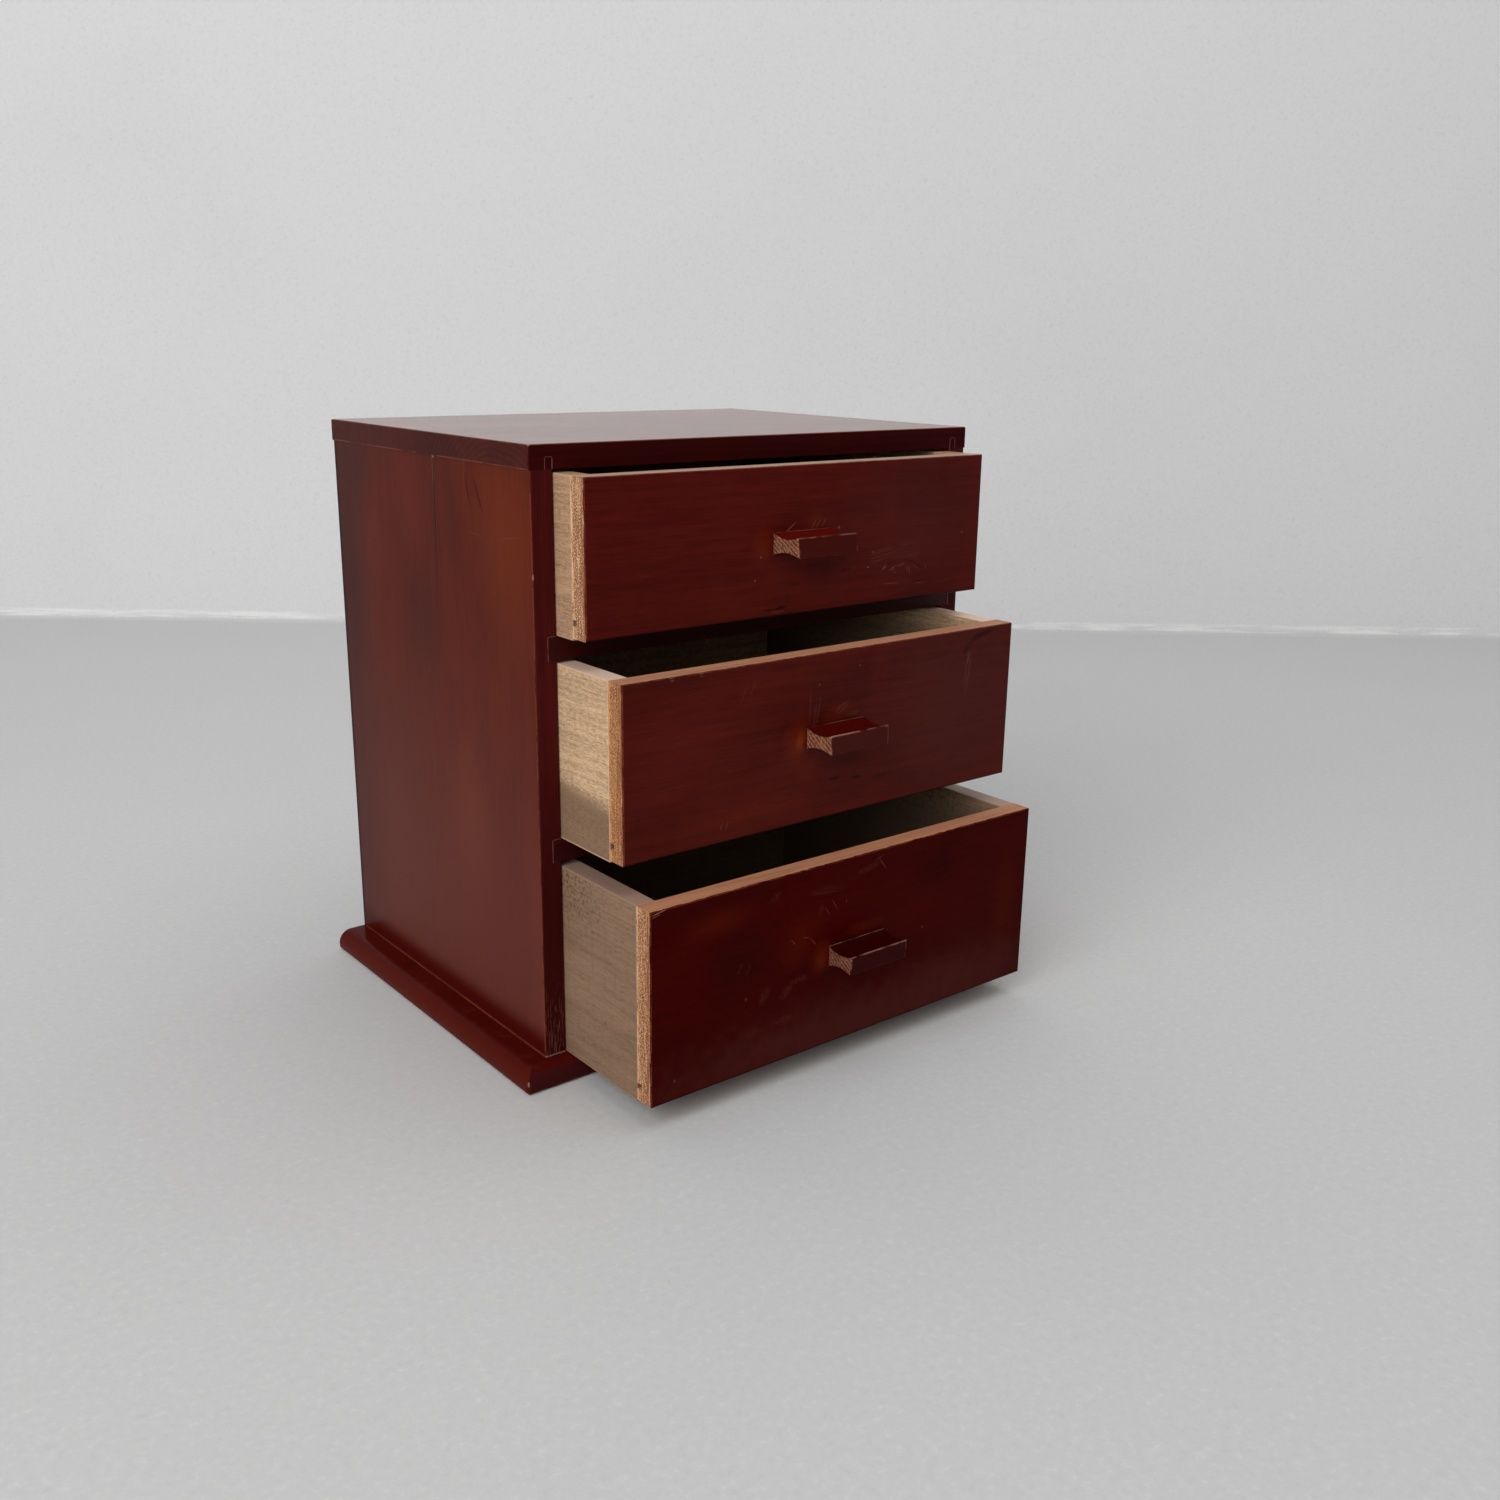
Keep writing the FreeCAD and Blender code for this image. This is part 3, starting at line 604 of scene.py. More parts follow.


# Drawer fronts: stained on the face, bare on the edges and behind.
# Marks: kind, across from the middle, up from the lower edge, half length, half width, slope, strength.
# Glow, amber and ember are warm where the varnish is thin; dull marks are greyer, and patch marks are where
# it is rubbed.
frontLook = {
    "lower": {
        # The lower front's stain is drawn darker than the other fronts': painted shadow over the lower part
        # of the chest
        "deep": (0.034, 0.0003, 0.0001), "bright": (0.064, 0.0016, 0.0006), "seed": 101, "specular": 0.02,
        "rim": (0.60, 0.265, 0.150), "pale": 0.6, "sheen": 0.18, "dot": (0.80, 0.50, 0.28),
        "marks": [
            ("amber", -18.5, 39, 10, 7.5, 75, 0.75), ("amber", 3, 46, 15, 4, 0, 0.45),
            ("glow", -30, 48, 18, 12, 40, 0.3), ("glow", -70, 66, 24, 8, 6, 0.35),
            ("glow", 88, 34, 12, 34, 0, 0.25), ("dark", 45, 62, 16, 12, 20, 0.5),
            # The two long dull marks at the foot, at 0 and 60 across, are a painted reflection of the floor
            ("dark", -60, 50, 26, 18, 0, 0.5), ("dull", 0, 4, 150, 26, 0, 0.9),
            ("dull", 60, 8, 60, 24, 4, 0.5), ("patch", -47.6, 30.2, 4.6, 2.6, 60, 0.9),
            ("patch", -36.6, 28.8, 5, 2.2, 42, 0.9), ("patch", -30, 32.3, 5.8, 1.6, 0, 0.85),
            ("patch", -38.1, 17.2, 7.2, 2.0, 0, 0.75), ("patch", -52.4, 16.4, 6.4, 1.9, -4, 0.55),
            ("patch", -42.8, 6.2, 6, 0.9, -2, 0.4), ("patch", -59.8, 44.3, 3.2, 1.1, 66, 0.5),
            ("patch", -55.6, 43.2, 3.2, 0.9, 65, 0.5), ("patch", -42.9, 69.5, 3.8, 1.9, 30, 0.7),
            ("patch", -17.5, 67, 11, 1.7, -3, 0.5), ("patch", -19.5, 58.9, 3, 1.6, 60, 0.75),
            ("patch", 6, 71, 8, 1.7, 10, 0.85), ("dark", -96.5, 76.7, 5, 0.4, 5, 1),
            ("scratch", -56.6, 31.5, 1.0, 0.5, 77, 0.6), ("scratch", -17.5, 65.6, 11, 0.22, -6, 0.2),
            ("scratch", -16.2, 57.7, 2.7, 0.28, -58, 0.35), ("scratch", -12.5, 59.6, 3.6, 0.32, -56, 0.4),
            ("scratch", -6.3, 59.5, 1, 0.45, -70, 0.45), ("scratch", -26.9, 49.1, 2.1, 0.3, -9, 0.5),
            ("scratch", -23.1, 46.4, 3.1, 0.3, -50, 0.5), ("scratch", -33.4, 48.8, 2.3, 0.45, -45, 0.35),
            ("scratch", 13, 71, 4, 0.35, -52, 0.5), ("scratch", 11, 74, 4, 0.3, 22, 0.35),
            ("scratch", 37.2, 37.6, 0.7, 0.6, 0, 0.7), ("scratch", -90, 8, 0.8, 0.6, 60, 0.6),
        ],
    },
    "middle": {
        "deep": (0.056, 0.0032, 0.0017), "bright": (0.112, 0.0088, 0.0042), "seed": 111, "specular": 0.07,
        "rim": (0.60, 0.290, 0.175), "pale": 0.6, "sheen": 0.15, "dot": (0.76, 0.37, 0.145),
        "marks": [
            ("dull", 66, 40, 66, 60, 0, 0.65), ("glow", -48, 9, 52, 10, 0, 0.45),
            ("amber", -20, 34, 14, 9, 84, 0.7), ("ember", -18, 34, 6, 3.4, 84, 0.75),
            ("glow", -14, 21, 9, 9, 0, 0.5), ("amber", 2, 42, 13, 5, 8, 0.5),
            ("glow", -40, 60, 40, 5, 3, 0.2), ("dark", 0, 15.5, 4, 0.9, 0, 1),
            ("dark", 12, 14, 3.4, 0.8, 0, 1), ("dark", 25, 12, 6, 1.4, 4, 0.4),
            # the broad dark mark at 6 across and 24 up is painted shadow of the pull
            ("dark", 36, 16, 4, 1, 10, 0.3), ("dark", 6, 24, 20, 7, 0, 0.35),
            ("scratch", -13.5, 46, 11, 0.25, 88, 0.4), ("scratch", -9, 45, 8, 0.22, 82, 0.4),
            ("scuff", -11, 43, 7, 2, 84, 0.35), ("scratch", -9, 55, 0.8, 0.5, 0, 0.7),
            ("scuff", 3, 44, 5, 2, 30, 0.6), ("scuff", 9, 41, 5, 1.6, 5, 0.4),
            ("scuff", 74, 50, 13, 2.2, 86, 0.5), ("scratch", 74, 55, 3, 0.4, 84, 0.6),
            ("dark", 82, 64.5, 9, 1.4, 10, 0.8), ("dark", 73, 59, 4, 1.2, 35, 0.7),
            ("dark", 76, 62, 5, 0.8, 20, 0.6), ("scratch", -56.5, 6.5, 2.4, 0.25, 68, 0.7),
            ("scratch", -53.8, 6.3, 2.6, 0.25, 64, 0.7), ("scratch", -46, 57, 6, 0.22, 66, 0.3),
            ("scratch", -42, 58, 6, 0.22, 62, 0.25), ("scratch", 12, 60, 0.7, 0.5, 0, 0.7),
            ("scratch", -79, 66, 1.2, 0.5, 0, 0.8), ("scratch", -66, 66, 1.0, 0.4, 0, 0.6),
            ("dark", 30, 52, 24, 0.5, -3, 0.25), ("dark", 56, 58, 16, 0.6, 4, 0.3),
            ("dark", 44, 45, 8, 0.5, 30, 0.25),
        ],
    },
    "upper": {
        "deep": (0.056, 0.0025, 0.0016), "bright": (0.116, 0.0076, 0.0044), "seed": 121, "specular": 0.07,
        "rim": (0.60, 0.430, 0.340), "pale": 0.7, "sheen": 0.45, "dot": (1.0, 0.67, 0.39),
        "marks": [
            # the broad dark mark at 12 across and 17 up is painted shadow of the pull
            ("dull", 66, 36, 70, 46, 0, 0.5), ("dark", 12, 17, 16, 8, 8, 0.4),
            ("amber", -20, 28, 11, 8, 82, 0.6), ("glow", -14, 17, 7, 9, 0, 0.35),
            ("amber", 6, 36, 13, 6, 10, 0.5), ("glow", -40, 8, 80, 12, 0, 0.3),
            ("scratch", -7, 34, 5.4, 0.45, 36, 1), ("scratch", 5.5, 34.8, 2.8, 0.34, 58, 0.8),
            ("scratch", 8, 35.2, 2.8, 0.34, 54, 0.8), ("scratch", 11, 35.4, 2.4, 0.32, 60, 0.7),
            ("scratch", 19, 32.8, 0.8, 0.7, 0, 1), ("scratch", 44.7, 14.5, 2.0, 0.55, 36, 0.9),
            ("scratch", 49.5, 14, 3, 0.3, 25, 0.7), ("scratch", 49.9, 13.2, 1.9, 0.3, 29, 0.6),
            ("scratch", 54.3, 14.8, 3.2, 0.3, 11, 0.8), ("scratch", 51.1, 11.9, 1.2, 0.3, 19, 0.6),
            ("scratch", 58.1, 12.8, 2, 0.3, -82, 0.6), ("scratch", 59.4, 12.2, 2.6, 0.3, -89, 0.65),
            ("scratch", 63.2, 13.1, 3.2, 0.24, -33, 0.4), ("scratch", 68.9, 12.9, 1.6, 0.4, -70, 0.4),
            ("scratch", 49, 7.5, 5.7, 0.28, -3, 0.55), ("scratch", 65.5, 6.3, 5, 0.28, 0, 0.45),
            ("scuff", 43, 20, 10, 3.6, 8, 0.3), ("scuff", 57, 20, 12, 5, 4, 0.2),
            ("scratch", 37.9, 21.4, 0.8, 0.6, 0, 0.8), ("scratch", 35.5, 15.4, 0.9, 0.55, 0, 0.9),
            ("scratch", -23.7, 15.2, 0.7, 0.6, 0, 0.8), ("scratch", -21, 24, 0.7, 0.6, 0, 0.9),
            ("scratch", 90, 26, 1.0, 0.5, 40, 0.7), ("dark", -16, 3.0, 5, 0.45, 0, 0.95),
            ("dark", -11, 3.3, 3.5, 0.9, 4, 0.95), ("scuff", -12, 1.9, 4.5, 0.7, 0, 0.8),
            ("dark", 23, 15.5, 3, 0.9, 0, 0.6), ("dark", 21, 20, 3, 1.2, 0, 0.3),
            ("dark", 59.5, 15.9, 3.6, 0.42, -4, 0.6), ("dark", 64.2, 14, 3.8, 0.5, -33, 0.6),
            ("dark", 47, 15.6, 2.4, 0.4, 30, 0.5), ("dark", 49, 8.6, 5.4, 0.35, -3, 0.45),
            ("dark", 66, 7.4, 5, 0.35, 0, 0.45),
        ],
    },
    "streak": 0.5, "fibre": 0.8, "blotch": 1.0, "late": 0.1, "ring": 3.2, "rough": 0.36,
    "wrap": 0.7, "wrapSoft": 0.15,  # how far the stain runs round onto the edges
    "glow": (0.145, 0.0130, 0.0010), "amber": (0.160, 0.0180, 0.0034), "ember": (0.270, 0.0440, 0.0034),
    "scuff": (0.200, 0.0700, 0.0540), "dark": (0.012, 0.0010, 0.0006),
    "dull": (0.078, 0.0160, 0.0132), "patch": (0.074, 0.0125, 0.0088),
    "cover": 0.8, "scuffCover": 0.58,  # how far a mark hides the stain
    "drop": (0.16, 0.046, 0.016),  # dark specks of the end grain; each drawer's dot is the light ones
    "bleed": (0.28, 0.098, 0.050),  # stain drawn into the wood
    "arris": 1.05,  # width of the dark line down the right edge and along the foot: stain gathered on the arris, with painted shade
}
frontEdge = {**bareLook, "light": (0.50, 0.240, 0.118), "dark": (0.25, 0.095, 0.044), "late": 0.25,
             "fleck": 1.0}


def frontMarks(f, colour, look, low):  # the colour under all its marks, and where scratches stand proud
    lift = None
    grit = f.noise((1.3, 1.3, 1.3), look["seed"] + 15, 3, 0.6).step(0.32, 0.62)
    for index, (kind, x, z, length, width, slope, strength) in enumerate(look["marks"]):
        place = markPlace(f, "y", (x, low.y, low.z + z), (length, width), slope)
        if kind == "scuff":
            mask = scuffMask(f, place, index)
        elif kind == "patch":
            mask = markMask(f, place, 0.5, 0.6, index + 7) * grit * 1.2
        elif kind == "scratch":
            mask = markMask(f, place, 0.4)
        elif width > 2:
            mask = markMask(f, place, 0, 0.8, index + 7)
        else:
            mask = markMask(f, place, 0.5, 0.4, index + 7)
        tint = look["scuff" if kind == "scratch" else kind]
        colour = f.mix(colour, tint, mask * strength * look["scuffCover" if kind == "scuff" else "cover"])
        if kind in ("scuff", "scratch"):
            lift = mask if lift is None else lift.most(mask)
    return colour, lift


def frontEdgeColour(f, wood, look, behind, ragged, speck, ends, upward):  # bare end grain and upper edge
    bare = bareColour(f, wood, frontEdge)
    drip = f.noise((2, 0.7, 14), look["seed"] + 13, 3)
    bare = f.mix(bare, look["drop"], speck.step(0.52, 0.62) * ends * 0.8)
    bare = f.mix(bare, look["dot"], speck.step(0.48, 0.38) * ends * 0.85)
    bare = f.mix(bare, look["drop"], drip.step(0.5, 0.62) * ends * behind.step(7.5, 1.5) * 0.75)
    bare = f.mix(bare, look["dot"], drip.step(0.44, 0.3) * ends * 0.5)
    bare = f.mix(bare, look["bleed"], behind.step(3.4, 0.8) * drip.step(0.36, 0.56) * ends * 0.75)
    bare = f.mix(bare, look["dot"], behind.step(7.4, 8.5) * ragged.step(0.35, 0.55) * ends * 0.6)
    bare = f.mix(bare, look["rim"], upward * look["pale"])
    streaks = f.noise((40, 0.9, 3), look["seed"] + 14, 3)
    return f.mix(bare, look["bleed"], streaks.step(0.5, 0.68) * upward * 0.5)


def frontFinish(name):
    node = f"{name}_drawer_front"
    look = {**frontLook, **frontLook[name]}
    low, high = boxOf(node)
    f = Finish(f"{node}_finish")
    wood = woodGrain(f, "x", (low.y + 60, low.z - 30), look["ring"], look["seed"])
    colour = stainedColour(f, wood, look)
    # Broad upright bands of painted sheen, which also vary the roughness
    sheenBand = f.noise((14, 400, 120), look["seed"] + 8, 2)
    colour = f.mix(colour, look["bright"], sheenBand.step(0.48, 0.8) * 0.3)
    colour, lift = frontMarks(f, colour, look, low)
    wear = rubbed(f, node, 0.5, look["seed"] + 10)
    colour = f.mix(colour, rubbedWood, wear * 0.6)
    ragged = f.noise((2.5, 1.2, 6), look["seed"] + 9, 3)
    # Dark line down the right edge and along the foot: gathered stain with painted shade
    rim = (high.x - f.axis["x"]).least(f.axis["z"] - low.z) + (ragged - 0.5) * 0.6
    colour = f.mix(colour, look["dark"], rim.step(look["arris"], look["arris"] * 0.4) * 0.85)
    behind = f.axis["y"] - low.y + (ragged - 0.5) * 1.4
    bareMask = behind.step(look["wrap"] - look["wrapSoft"], look["wrap"] + look["wrapSoft"])
    speck = f.noise((2, 0.45, 0.62), look["seed"] + 12, 2, 0.6)
    ends = abs(f.facing["x"]).step(0.6, 0.9)
    upward = f.facing["z"].step(0.7, 0.95)
    colour = f.mix(colour, frontEdgeColour(f, wood, look, behind, ragged, speck, ends, upward), bareMask)
    rough = look["rough"] + (sheenBand - 0.5) * 0.12 + wood.fibre * 0.05 + lift * 0.15 + bareMask * 0.3
    height = wood.fibre * (0.2 + bareMask * 0.7) - wood.pore * 0.3 + wood.blotch * 2
    height = height + lift * 0.8 + speck * ends
    handled = upward * bareMask * look["sheen"]  # upper edges are polished by hands
    return f.surface(colour, rough, height, 0.035, look["specular"], handled, 0.35)


for name in drawerNames:
    dress(f"{name}_drawer_front", frontFinish(name))
print("drawer fronts finished")


# Meshes from grids

def addPiece(name, points, faces, body, material):
    mesh = bpy.data.meshes.new(name)
    mesh.from_pydata(points.tolist(), [], faces)
    mesh.shade_smooth()
    mesh.materials.append(material)
    piece = bpy.data.objects.new(name, mesh)
    bpy.context.scene.collection.objects.link(piece)
    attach(piece, body)
    return piece


# Rings of points joined in order by quads, and closed by a pole in the middle of each end ring
def closedTube(rings):
    count, around = rings.shape[:2]
    index = np.arange(count * around).reshape(count, around)
    after = np.roll(index, -1, axis=1)
    quads = np.stack([index[:-1], after[:-1], after[1:], index[1:]], axis=2).reshape(-1, 4)
    first = np.stack([np.full(around, count * around), after[0], index[0]], axis=1)
    last = np.stack([np.full(around, count * around + 1), index[-1], after[-1]], axis=1)
    points = np.concatenate([rings.reshape(-1, 3), rings[:1].mean(axis=1), rings[-1:].mean(axis=1)])
    return points, quads.tolist() + first.tolist() + last.tolist()


# Pulls: a waisted bar with a flat nose, its corners rubbed round by hand
pullLook = {
    "nose": 8.2, "cove": 1.5, "lean": {"upper": 1.0, "middle": 0.2, "lower": -0.6},
    "sharp": 0.4, "worn": 1.1,  # nose corner, where it is least and most rubbed
    "endRound": 0.4, "endRun": 1.0, "wobble": 0.06, "ring": 1.6,
    "points": {"cove": 30, "corner": 8, "nose": 12, "heel": 14, "along": 70, "end": 6},
    "capShares": (0.25, 0.55, 0.8),  # rings that close the ends, as shares of the end's outline
    "end": {**bareLook, "light": (0.43, 0.185, 0.108), "dark": (0.100, 0.029, 0.017), "late": 1.1,
            "fibre": 0.7},
    "wornEdge": (0.38, 0.17, 0.135),
    # Painted light on the cove's upward faces, brightest on the upper pull; the lower pull's cove and face
    # are drawn darker as painted shadow
    "coveTopLit": {"upper": (0.105, 0.0034, 0.0012), "middle": (0.060, 0.0011, 0.0008),
                "lower": (0.026, 0.0006, 0.0006)},
    "face": {"upper": (0.056, 0.0075, 0.0055), "middle": (0.056, 0.0100, 0.0084),
             "lower": (0.034, 0.0014, 0.0009)},
    "pale": {"upper": 1.0, "middle": 0.9, "lower": 0.8},  # how bare the ends are
    "wear": {"upper": 0.35, "middle": 0.35, "lower": 0.5},
    "noseLine": {"upper": 0.35, "middle": 0.8, "lower": 0.6},
    "rootLine": {"upper": 0.5, "middle": 0.4, "lower": 0.55},
}


def bentCorner(before, corner, after):  # a parabola from before to after, drawn towards the corner
    t = np.linspace(0, 1, pullLook["points"]["corner"], endpoint=False)[:, None]
    return (1 - t) ** 2 * before + 2 * t * (1 - t) * corner + t ** 2 * after


# The pull's section, outward and up: along the hollowed top, round the flat leaning nose, back below and up
# the heel. A cove is the straight chord from root to nose, less a parabola that is deepest half way.
def pullSection(root, reach, lean, corner):
    nose = pullLook["nose"] / 2
    counts = pullLook["points"]
    upper = np.array([reach - lean / 2 - abs(lean) / 2, nose])
    lower = np.array([reach + lean / 2 - abs(lean) / 2, -nose])

    def cove(tip, sign):
        t = np.linspace(0, 1 - corner / reach, counts["cove"])
        chord = root + (nose - root) * t - pullLook["cove"] * 4 * t * (1 - t)
        return np.stack([tip[0] * t, sign * chord], axis=1)

    top = cove(upper, 1)
    foot = cove(lower, -1)[::-1]
    down = (lower - upper) / np.linalg.norm(lower - upper)
    flat = np.linspace(upper + down * corner, lower - down * corner, counts["nose"], endpoint=False)
    heel = np.linspace([0, -root], [0, root], counts["heel"])[1:-1]
    return np.concatenate([top[:-1], bentCorner(top[-1], upper, flat[0]), flat,
                           bentCorner(lower - down * corner, lower, foot[0]), foot, heel])


# The section carried along the bar: a blend of the sharp and the worn one, by sine waves and by how near an
# end is, drawn in by a quarter circle at each end, and waved a little inwards all round as if cut by hand.
def pullRings(name):
    low, high = boxOf(f"{name}_drawer_pull")
    root, reach, half = (high.z - low.z) / 2, high.y - low.y, (high.x - low.x) / 2
    lean = pullLook["lean"][name]
    counts = pullLook["points"]
    sharp = pullSection(root, reach, lean, pullLook["sharp"])
    worn = pullSection(root, reach, lean, pullLook["worn"])
    turn = np.linspace(0, math.pi / 2, counts["end"])
    inset = pullLook["endRound"] * (1 - np.sin(turn))
    bend = pullLook["endRound"] * (1 - np.cos(turn))
    straight = half - pullLook["endRun"]
    middleRun = np.linspace(-straight, straight, counts["along"])
    along = np.concatenate([bend - half, middleRun, (half - bend)[::-1]])
    insets = np.concatenate([inset, np.zeros(counts["along"]), inset[::-1]])
    seed = drawerNames.index(name)
    rubbedHere = 0.35 + 0.3 * np.sin(along / 3.1 + seed * 2) + 0.2 * np.sin(along / 1.3 + seed)
    share = np.clip(rubbedHere + 0.35 * (along / half) ** 6, 0, 1)[:, None, None]
    rings = sharp * (1 - share) + worn * share
    middle = np.array([reach / 2, 0])
    rings = middle + (rings - middle) * (1 - insets[:, None, None] / np.array([reach / 2, root]))
    angle = np.arctan2(rings[:, :, 1], rings[:, :, 0] - reach / 2)
    wobble = np.sin(along[:, None] / 4.3 + angle * 2 + seed) + 0.6 * np.sin(along[:, None] / 1.9 - angle * 3)
    inward = (pullLook["wobble"] * (wobble + 1.6) / 2)[:, :, None]
    rings = rings - np.stack([np.cos(angle), np.sin(angle)], axis=2) * inward
    rings[:, :, 0] = np.clip(rings[:, :, 0], 0, reach)
    shares = np.array(pullLook["capShares"])[:, None, None]
    caps = middle + (rings[:1] - middle) * shares
    endCaps = middle + (rings[-1:] - middle) * shares[::-1]
    rings = np.concatenate([caps, rings, endCaps])
    along = np.concatenate([np.full(len(caps), along[0]), along, np.full(len(endCaps), along[-1])])
    centre = np.array([(low.x + high.x) / 2, high.y, (low.z + high.z) / 2])
    across = np.broadcast_to(along[:, None], rings.shape[:2])
    return centre + np.stack([across, -rings[:, :, 0], rings[:, :, 1]], axis=2)


def pullFinish(name):
    node = f"{name}_drawer_pull"
    low, high = boxOf(node)
    look = {**frontLook, **frontLook[name]}
    f = Finish(f"{node}_finish")
    wood = woodGrain(f, "x", (low.y - 25, high.z + 45), pullLook["ring"], look["seed"] + 30, sway=4)
    colour = stainedColour(f, wood, look)
    colour = f.mix(colour, pullLook["coveTopLit"][name], f.facing["z"].step(0.35, 0.75) * 0.85)
    colour = f.mix(colour, pullLook["face"][name], f.facing["y"].step(-0.6, -0.9) * (0.6 + wood.streak * 0.4))
    ragged = f.noise((3.4, 2.2, 2.2), look["seed"] + 31, 4, 0.65)
    ends = abs(f.facing["x"]).step(0.75, 0.93)
    cut = f.noise((2, 1.1, 1.1), look["seed"] + 33, 4, 0.7)  # the saw tore the end grain
    wood.late = wood.late * (0.3 + cut.step(0.4, 0.6) * 0.5)
    grain = f.mix(bareColour(f, wood, pullLook["end"]), pullLook["end"]["dark"], cut.step(0.5, 0.62) * 0.6)
    grain = f.mix(grain, pullLook["end"]["light"], cut.step(0.44, 0.34) * 0.7)
    grain = f.mix(pullLook["end"]["dark"], grain, pullLook["pale"][name])
    colour = f.mix(colour, grain, ends * ragged.step(0.2, 0.35))
    fore = f.axis["y"].step(high.y - 3, high.y - 6)
    arris = (f.edge(node) + (ragged - 0.5) * 0.5).step(0.75, 0.4)
    wear = arris * ragged.step(0.45, 0.6) * (fore * 0.8 + 0.2)
    colour = f.mix(colour, pullLook["wornEdge"], wear * pullLook["wear"][name])
    lean = pullLook["lean"][name]
    back = f.axis["y"] - (low.y + lean / 2 + abs(lean) / 2)  # from the nose's upper corner
    drop = f.axis["z"] - ((low.z + high.z) / 2 + pullLook["nose"] / 2)
    along = f.noise((7, 60, 60), look["seed"] + 32, 3)
    noseLine = (back * back + drop * drop).math("SQRT").step(0.85, 0.45) * along.step(0.36, 0.56)
    rootLine = (high.y - f.axis["y"]).step(0.5, 0.25) * f.facing["z"].step(0, 0.3) * along.step(0.6, 0.42)
    colour = f.mix(colour, pullLook["wornEdge"], noseLine * pullLook["noseLine"][name])
    colour = f.mix(colour, pullLook["wornEdge"], rootLine * pullLook["rootLine"][name])
    rough = look["rough"] + ends * 0.25 + wear * 0.2
    height = wood.fibre * 0.4 - wood.pore * 0.5 - wood.late * ends * 1.5
    return f.surface(colour, rough, height, 0.05, 0.03)


for name in drawerNames:
    points, faces = closedTube(pullRings(name))
    pull = addPiece(f"{name}_drawer_shaped_pull", points * mm, faces, f"{name}_drawer", pullFinish(name))
    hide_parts(f"{name}_drawer_pull")
print("pulls shaped")


# Splinters lifted from the arrises: start and end, across and up from the front's middle and lower edge, then
# thickness. Bow is how far each stands off, as a share of its thickness, and sunk is how deep its ends lie.
splinterLook = {
    "lower": [(-100.2, 76.0, -93.5, 77.1, 0.38), (-100.2, 75.1, -95.5, 76.0, 0.32)],
    "middle": [(-80.5, 66.9, -77.5, 67.2, 0.30), (-67.0, 66.9, -64.8, 67.2, 0.28)],
    "points": 25, "bow": 0.35, "sunk": 0.10, "light": (0.38, 0.17, 0.11), "dark": (0.18, 0.06, 0.035),
}
# A curl of fibre on the upper front, low enough to pass under the top
curlLook = {"place": (43.6, -93.0), "radius": 0.52, "thickness": 0.2, "start": -70, "turn": 300, "lift": 0.85,
            "drift": 0.8, "taper": 0.6, "points": 40}


def splinterFinish():
    f = Finish("splinter_finish")
    wood = woodGrain(f, "x", (0, 0), 1.0, 141)
    colour = bareColour(f, wood, {**bareLook, "light": splinterLook["light"], "dark": splinterLook["dark"]})
    return f.surface(colour, 0.6 + wood.fibre * 0.1, wood.fibre, 0.03, 0.1)


def sliverRings(path, radius):  # six points in a circle across each place of a path
    angle = np.linspace(0, 2 * math.pi, 6, endpoint=False)
    ahead = np.gradient(path, axis=0)
    ahead = ahead / np.linalg.norm(ahead, axis=1, keepdims=True)
    out = np.broadcast_to(np.array([0.0, -1.0, 0.0]), path.shape)
    up = np.cross(ahead, out)
    ring = np.cos(angle)[None, :, None] * out[:, None, :] + np.sin(angle)[None, :, None] * up[:, None, :]
    return path[:, None, :] + ring * radius[:, None, None]


# A straight line from start to end, bowed outwards as half a sine wave, and thick as a power of another
def addSplinters(material):
    t = np.linspace(0, 1, splinterLook["points"])
    for name in ("lower", "middle"):
        low = boxOf(f"{name}_drawer_front")[0]
        for index, (x0, z0, x1, z1, thick) in enumerate(splinterLook[name]):
            depth = low.y + splinterLook["sunk"] - np.sin(math.pi * t) * thick * splinterLook["bow"]
            path = np.stack([x0 + (x1 - x0) * t, depth, low.z + z0 + (z1 - z0) * t], axis=1)
            radius = thick / 2 * np.sin(math.pi * (0.04 + 0.92 * t)) ** 0.7
            points, faces = closedTube(sliverRings(path, radius))
            addPiece(f"{name}_drawer_splinter_{index + 1}", points * mm, faces, f"{name}_drawer", material)


# A circle's arc above the front's upper edge, that drifts backwards as it turns and thins towards its tip
def addCurl(material):
    high = boxOf("upper_drawer_front")[1]
    t = np.linspace(0, 1, curlLook["points"])
    angle = np.radians(curlLook["start"] + curlLook["turn"] * t)
    x = curlLook["place"][0] + curlLook["radius"] * np.cos(angle)
    z = high.z + curlLook["radius"] * (curlLook["lift"] + np.sin(angle))
    path = np.stack([x, curlLook["place"][1] + curlLook["drift"] * t, z], axis=1)
    radius = curlLook["thickness"] / 2 * (1 - curlLook["taper"] * t)
    points, faces = closedTube(sliverRings(path, radius))
    addPiece("upper_drawer_fibre_curl", points * mm, faces, "upper_drawer", material)


splinterWood = splinterFinish()
addSplinters(splinterWood)
addCurl(splinterWood)
print("splinters added")


# Screws and pins
steelLook = {"bright": (0.42, 0.40, 0.37), "stained": (0.25, 0.17, 0.11), "rough": 0.35, "specular": 0.5}


def steelFinish():
    f = Finish("steel_finish")
    grain = f.noise((0.6, 0.6, 0.6), 5, 3)
    stain = f.noise((2.5, 2.5, 2.5), 6, 3)
    colour = f.mix(steelLook["bright"], steelLook["stained"], stain.step(0.5, 0.75))
    return f.surface(colour, steelLook["rough"] + grain * 0.25, grain, 0.02, steelLook["specular"], metal=1.0)


steel = steelFinish()
for node in nodes:
    if node.endswith(("screw", "screws", "pins")):
        dress(node, steel)
print("fixings finished")


# Camera: the photograph's viewing angle, with the picture's middle on the lens axis
cameraLook = {"eye": (-374.5, -535.1, 285.4), "yaw": -38.757, "pitch": 15.963, "roll": 0.808, "lens": 35.086,
              "sensor": 36, "clipStart": 0.01}


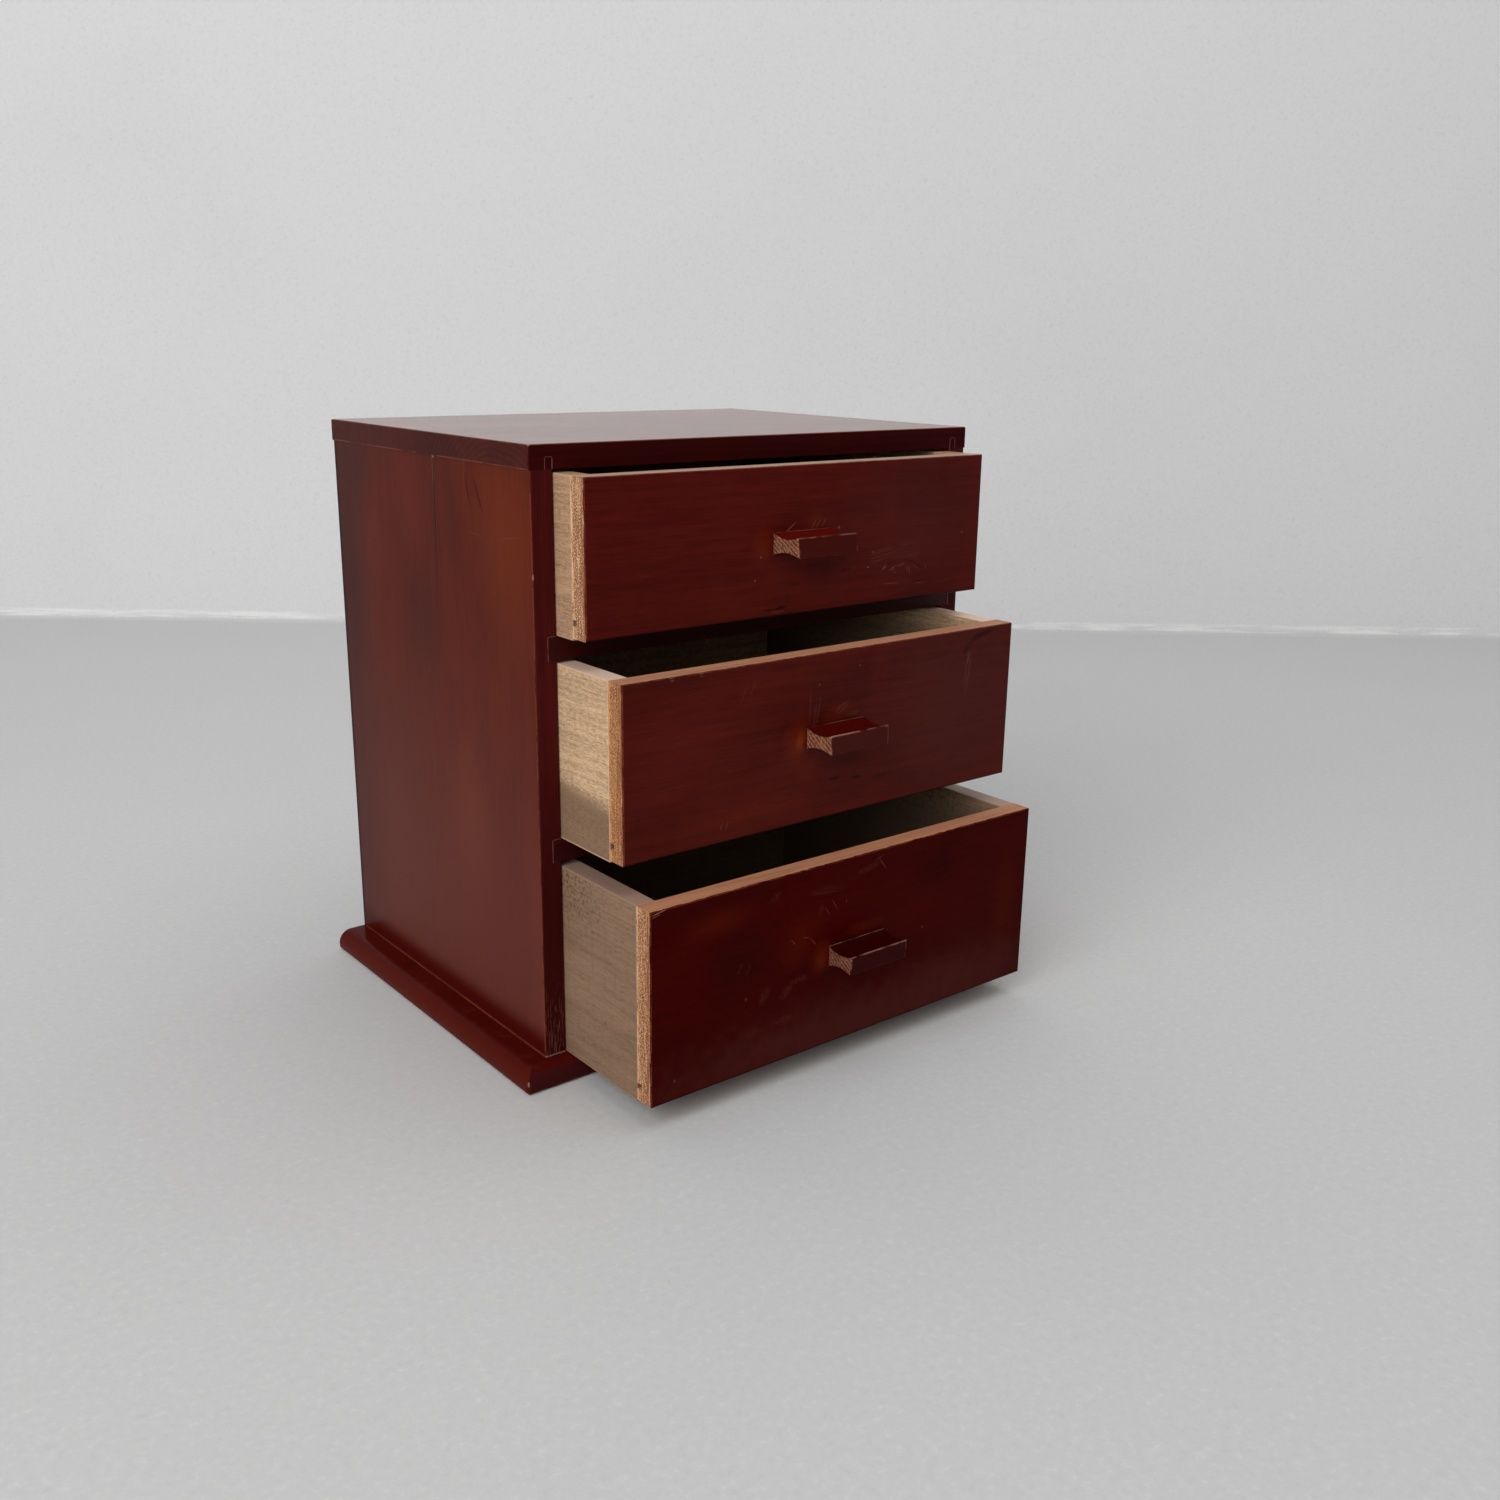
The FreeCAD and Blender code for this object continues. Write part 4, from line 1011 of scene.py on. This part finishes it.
def addCamera():
    yaw, pitch, roll = (math.radians(cameraLook[key]) for key in ("yaw", "pitch", "roll"))
    right = Vector((math.cos(yaw), math.sin(yaw), 0))
    ahead = Vector((-math.sin(yaw) * math.cos(pitch), math.cos(yaw) * math.cos(pitch), -math.sin(pitch)))
    up = right.cross(ahead)
    rolledRight = right * math.cos(roll) + up * math.sin(roll)
    rolledUp = up * math.cos(roll) - right * math.sin(roll)
    turn = Matrix([rolledRight, rolledUp, -ahead]).transposed().to_4x4()
    camera = bpy.data.objects.new("camera", bpy.data.cameras.new("camera"))
    camera.data.lens = cameraLook["lens"]
    camera.data.sensor_width = cameraLook["sensor"]
    camera.data.clip_start = cameraLook["clipStart"]
    camera.matrix_world = Matrix.Translation(Vector(cameraLook["eye"]) * mm) @ turn
    bpy.context.scene.collection.objects.link(camera)
    bpy.context.scene.camera = camera


addCamera()


# Stage: a painted floor that meets a wall behind the chest
stageLook = {"wallDistance": 1.44, "bend": 0.006, "wallHeight": 2.4, "halfWidth": 4.0, "frontReach": 4.0,
             "columns": 9, "bendPoints": 12,
             "floor": (0.64, 0.64, 0.64), "wall": (0.84, 0.84, 0.84), "paintEdge": (0.98, 0.98, 0.97),
             "worn": (0.46, 0.46, 0.46), "chalk": (1, 1, 1)}


def stagePaint():
    f = Finish("stage_paint")
    mottle = f.noise((300, 300, 300), 1, 3)
    fine = f.noise((3.5, 3.5, 3.5), 2, 3, 0.6)
    ragged = f.noise((60, 60, 5), 3, 4, 0.6)
    colour = f.mix(stageLook["floor"], stageLook["wall"], f.axis["z"].step(1, 7))
    line = f.axis["z"].step(12, 9) * f.axis["z"].step(2, 5) * ragged.step(0.4, 0.6)
    colour = f.mix(colour, stageLook["paintEdge"], line)
    colour = f.mix(colour, stageLook["worn"], mottle.step(0.45, 0.8) * 0.08)
    grit = f.noise((3, 3, 3), 4, 4, 0.7)
    colour = f.mix(colour, stageLook["worn"], grit.step(0.5, 0.8) * 0.25)
    colour = f.mix(colour, stageLook["chalk"], grit.step(0.5, 0.2) * 0.2)
    return f.surface(colour, 0.65 + fine * 0.2, fine + mottle * 4, 0.12, 0.06)


# A flat floor, a quarter circle and an upright wall, carried sideways across the camera's view
def addStage():
    bend, far = stageLook["bend"], stageLook["wallDistance"]
    angle = np.linspace(0, math.pi / 2, stageLook["bendPoints"])
    reach = np.concatenate([[-stageLook["frontReach"], 0], far - bend + bend * np.sin(angle), [far]])
    height = np.concatenate([[0, 0], bend - bend * np.cos(angle), [stageLook["wallHeight"]]])
    yaw = math.radians(cameraLook["yaw"])
    ahead = np.array([-math.sin(yaw), math.cos(yaw)])
    right = np.array([math.cos(yaw), math.sin(yaw)])
    sideways = np.linspace(-1, 1, stageLook["columns"]) * stageLook["halfWidth"]
    foot = np.array(cameraLook["eye"][:2]) * mm
    plan = foot + reach[:, None, None] * ahead + sideways[None, :, None] * right
    points = np.concatenate([plan, np.broadcast_to(height[:, None, None], plan.shape[:2] + (1,))], axis=2)
    rows, columns = points.shape[:2]
    index = np.arange(rows * columns).reshape(rows, columns)
    quads = np.stack([index[:-1, :-1], index[:-1, 1:], index[1:, 1:], index[1:, :-1]], axis=2).reshape(-1, 4)
    mesh = bpy.data.meshes.new("stage")
    mesh.from_pydata(points.reshape(-1, 3).tolist(), [], quads.tolist())
    mesh.shade_smooth()
    mesh.materials.append(stagePaint())
    stage = bpy.data.objects.new("stage", mesh)
    bpy.context.scene.collection.objects.link(stage)


addStage()


# Light: broad and soft, most of it from the left
lampLook = {
    "key": {"place": (-1.9, -0.85, 1.25), "size": 2.2, "power": 38},
    "overhead": {"place": (0.5, -0.1, 2.1), "size": 2.8, "power": 20},
}
lampTarget = (0, 0, 0.12)
worldGrey = (0.2, 0.2, 0.2, 1)


def addLamp(name, place, size, power):
    lamp = bpy.data.objects.new(name, bpy.data.lights.new(name, "AREA"))
    lamp.data.shape = "DISK"
    lamp.data.size = size
    lamp.data.energy = power
    lamp.location = place
    lamp.rotation_mode = "QUATERNION"
    lamp.rotation_quaternion = (Vector(lampTarget) - Vector(place)).to_track_quat("-Z", "Y")
    lamp.visible_camera = False
    bpy.context.scene.collection.objects.link(lamp)


for lampName, lamp in lampLook.items():
    addLamp(lampName, **lamp)


def addWorld():
    world = bpy.data.worlds.new("studio")
    world.use_nodes = True
    world.node_tree.nodes["Background"].inputs["Color"].default_value = worldGrey
    bpy.context.scene.world = world


addWorld()
bpy.context.scene.view_settings.view_transform = "Standard"
print("camera, stage and light set")
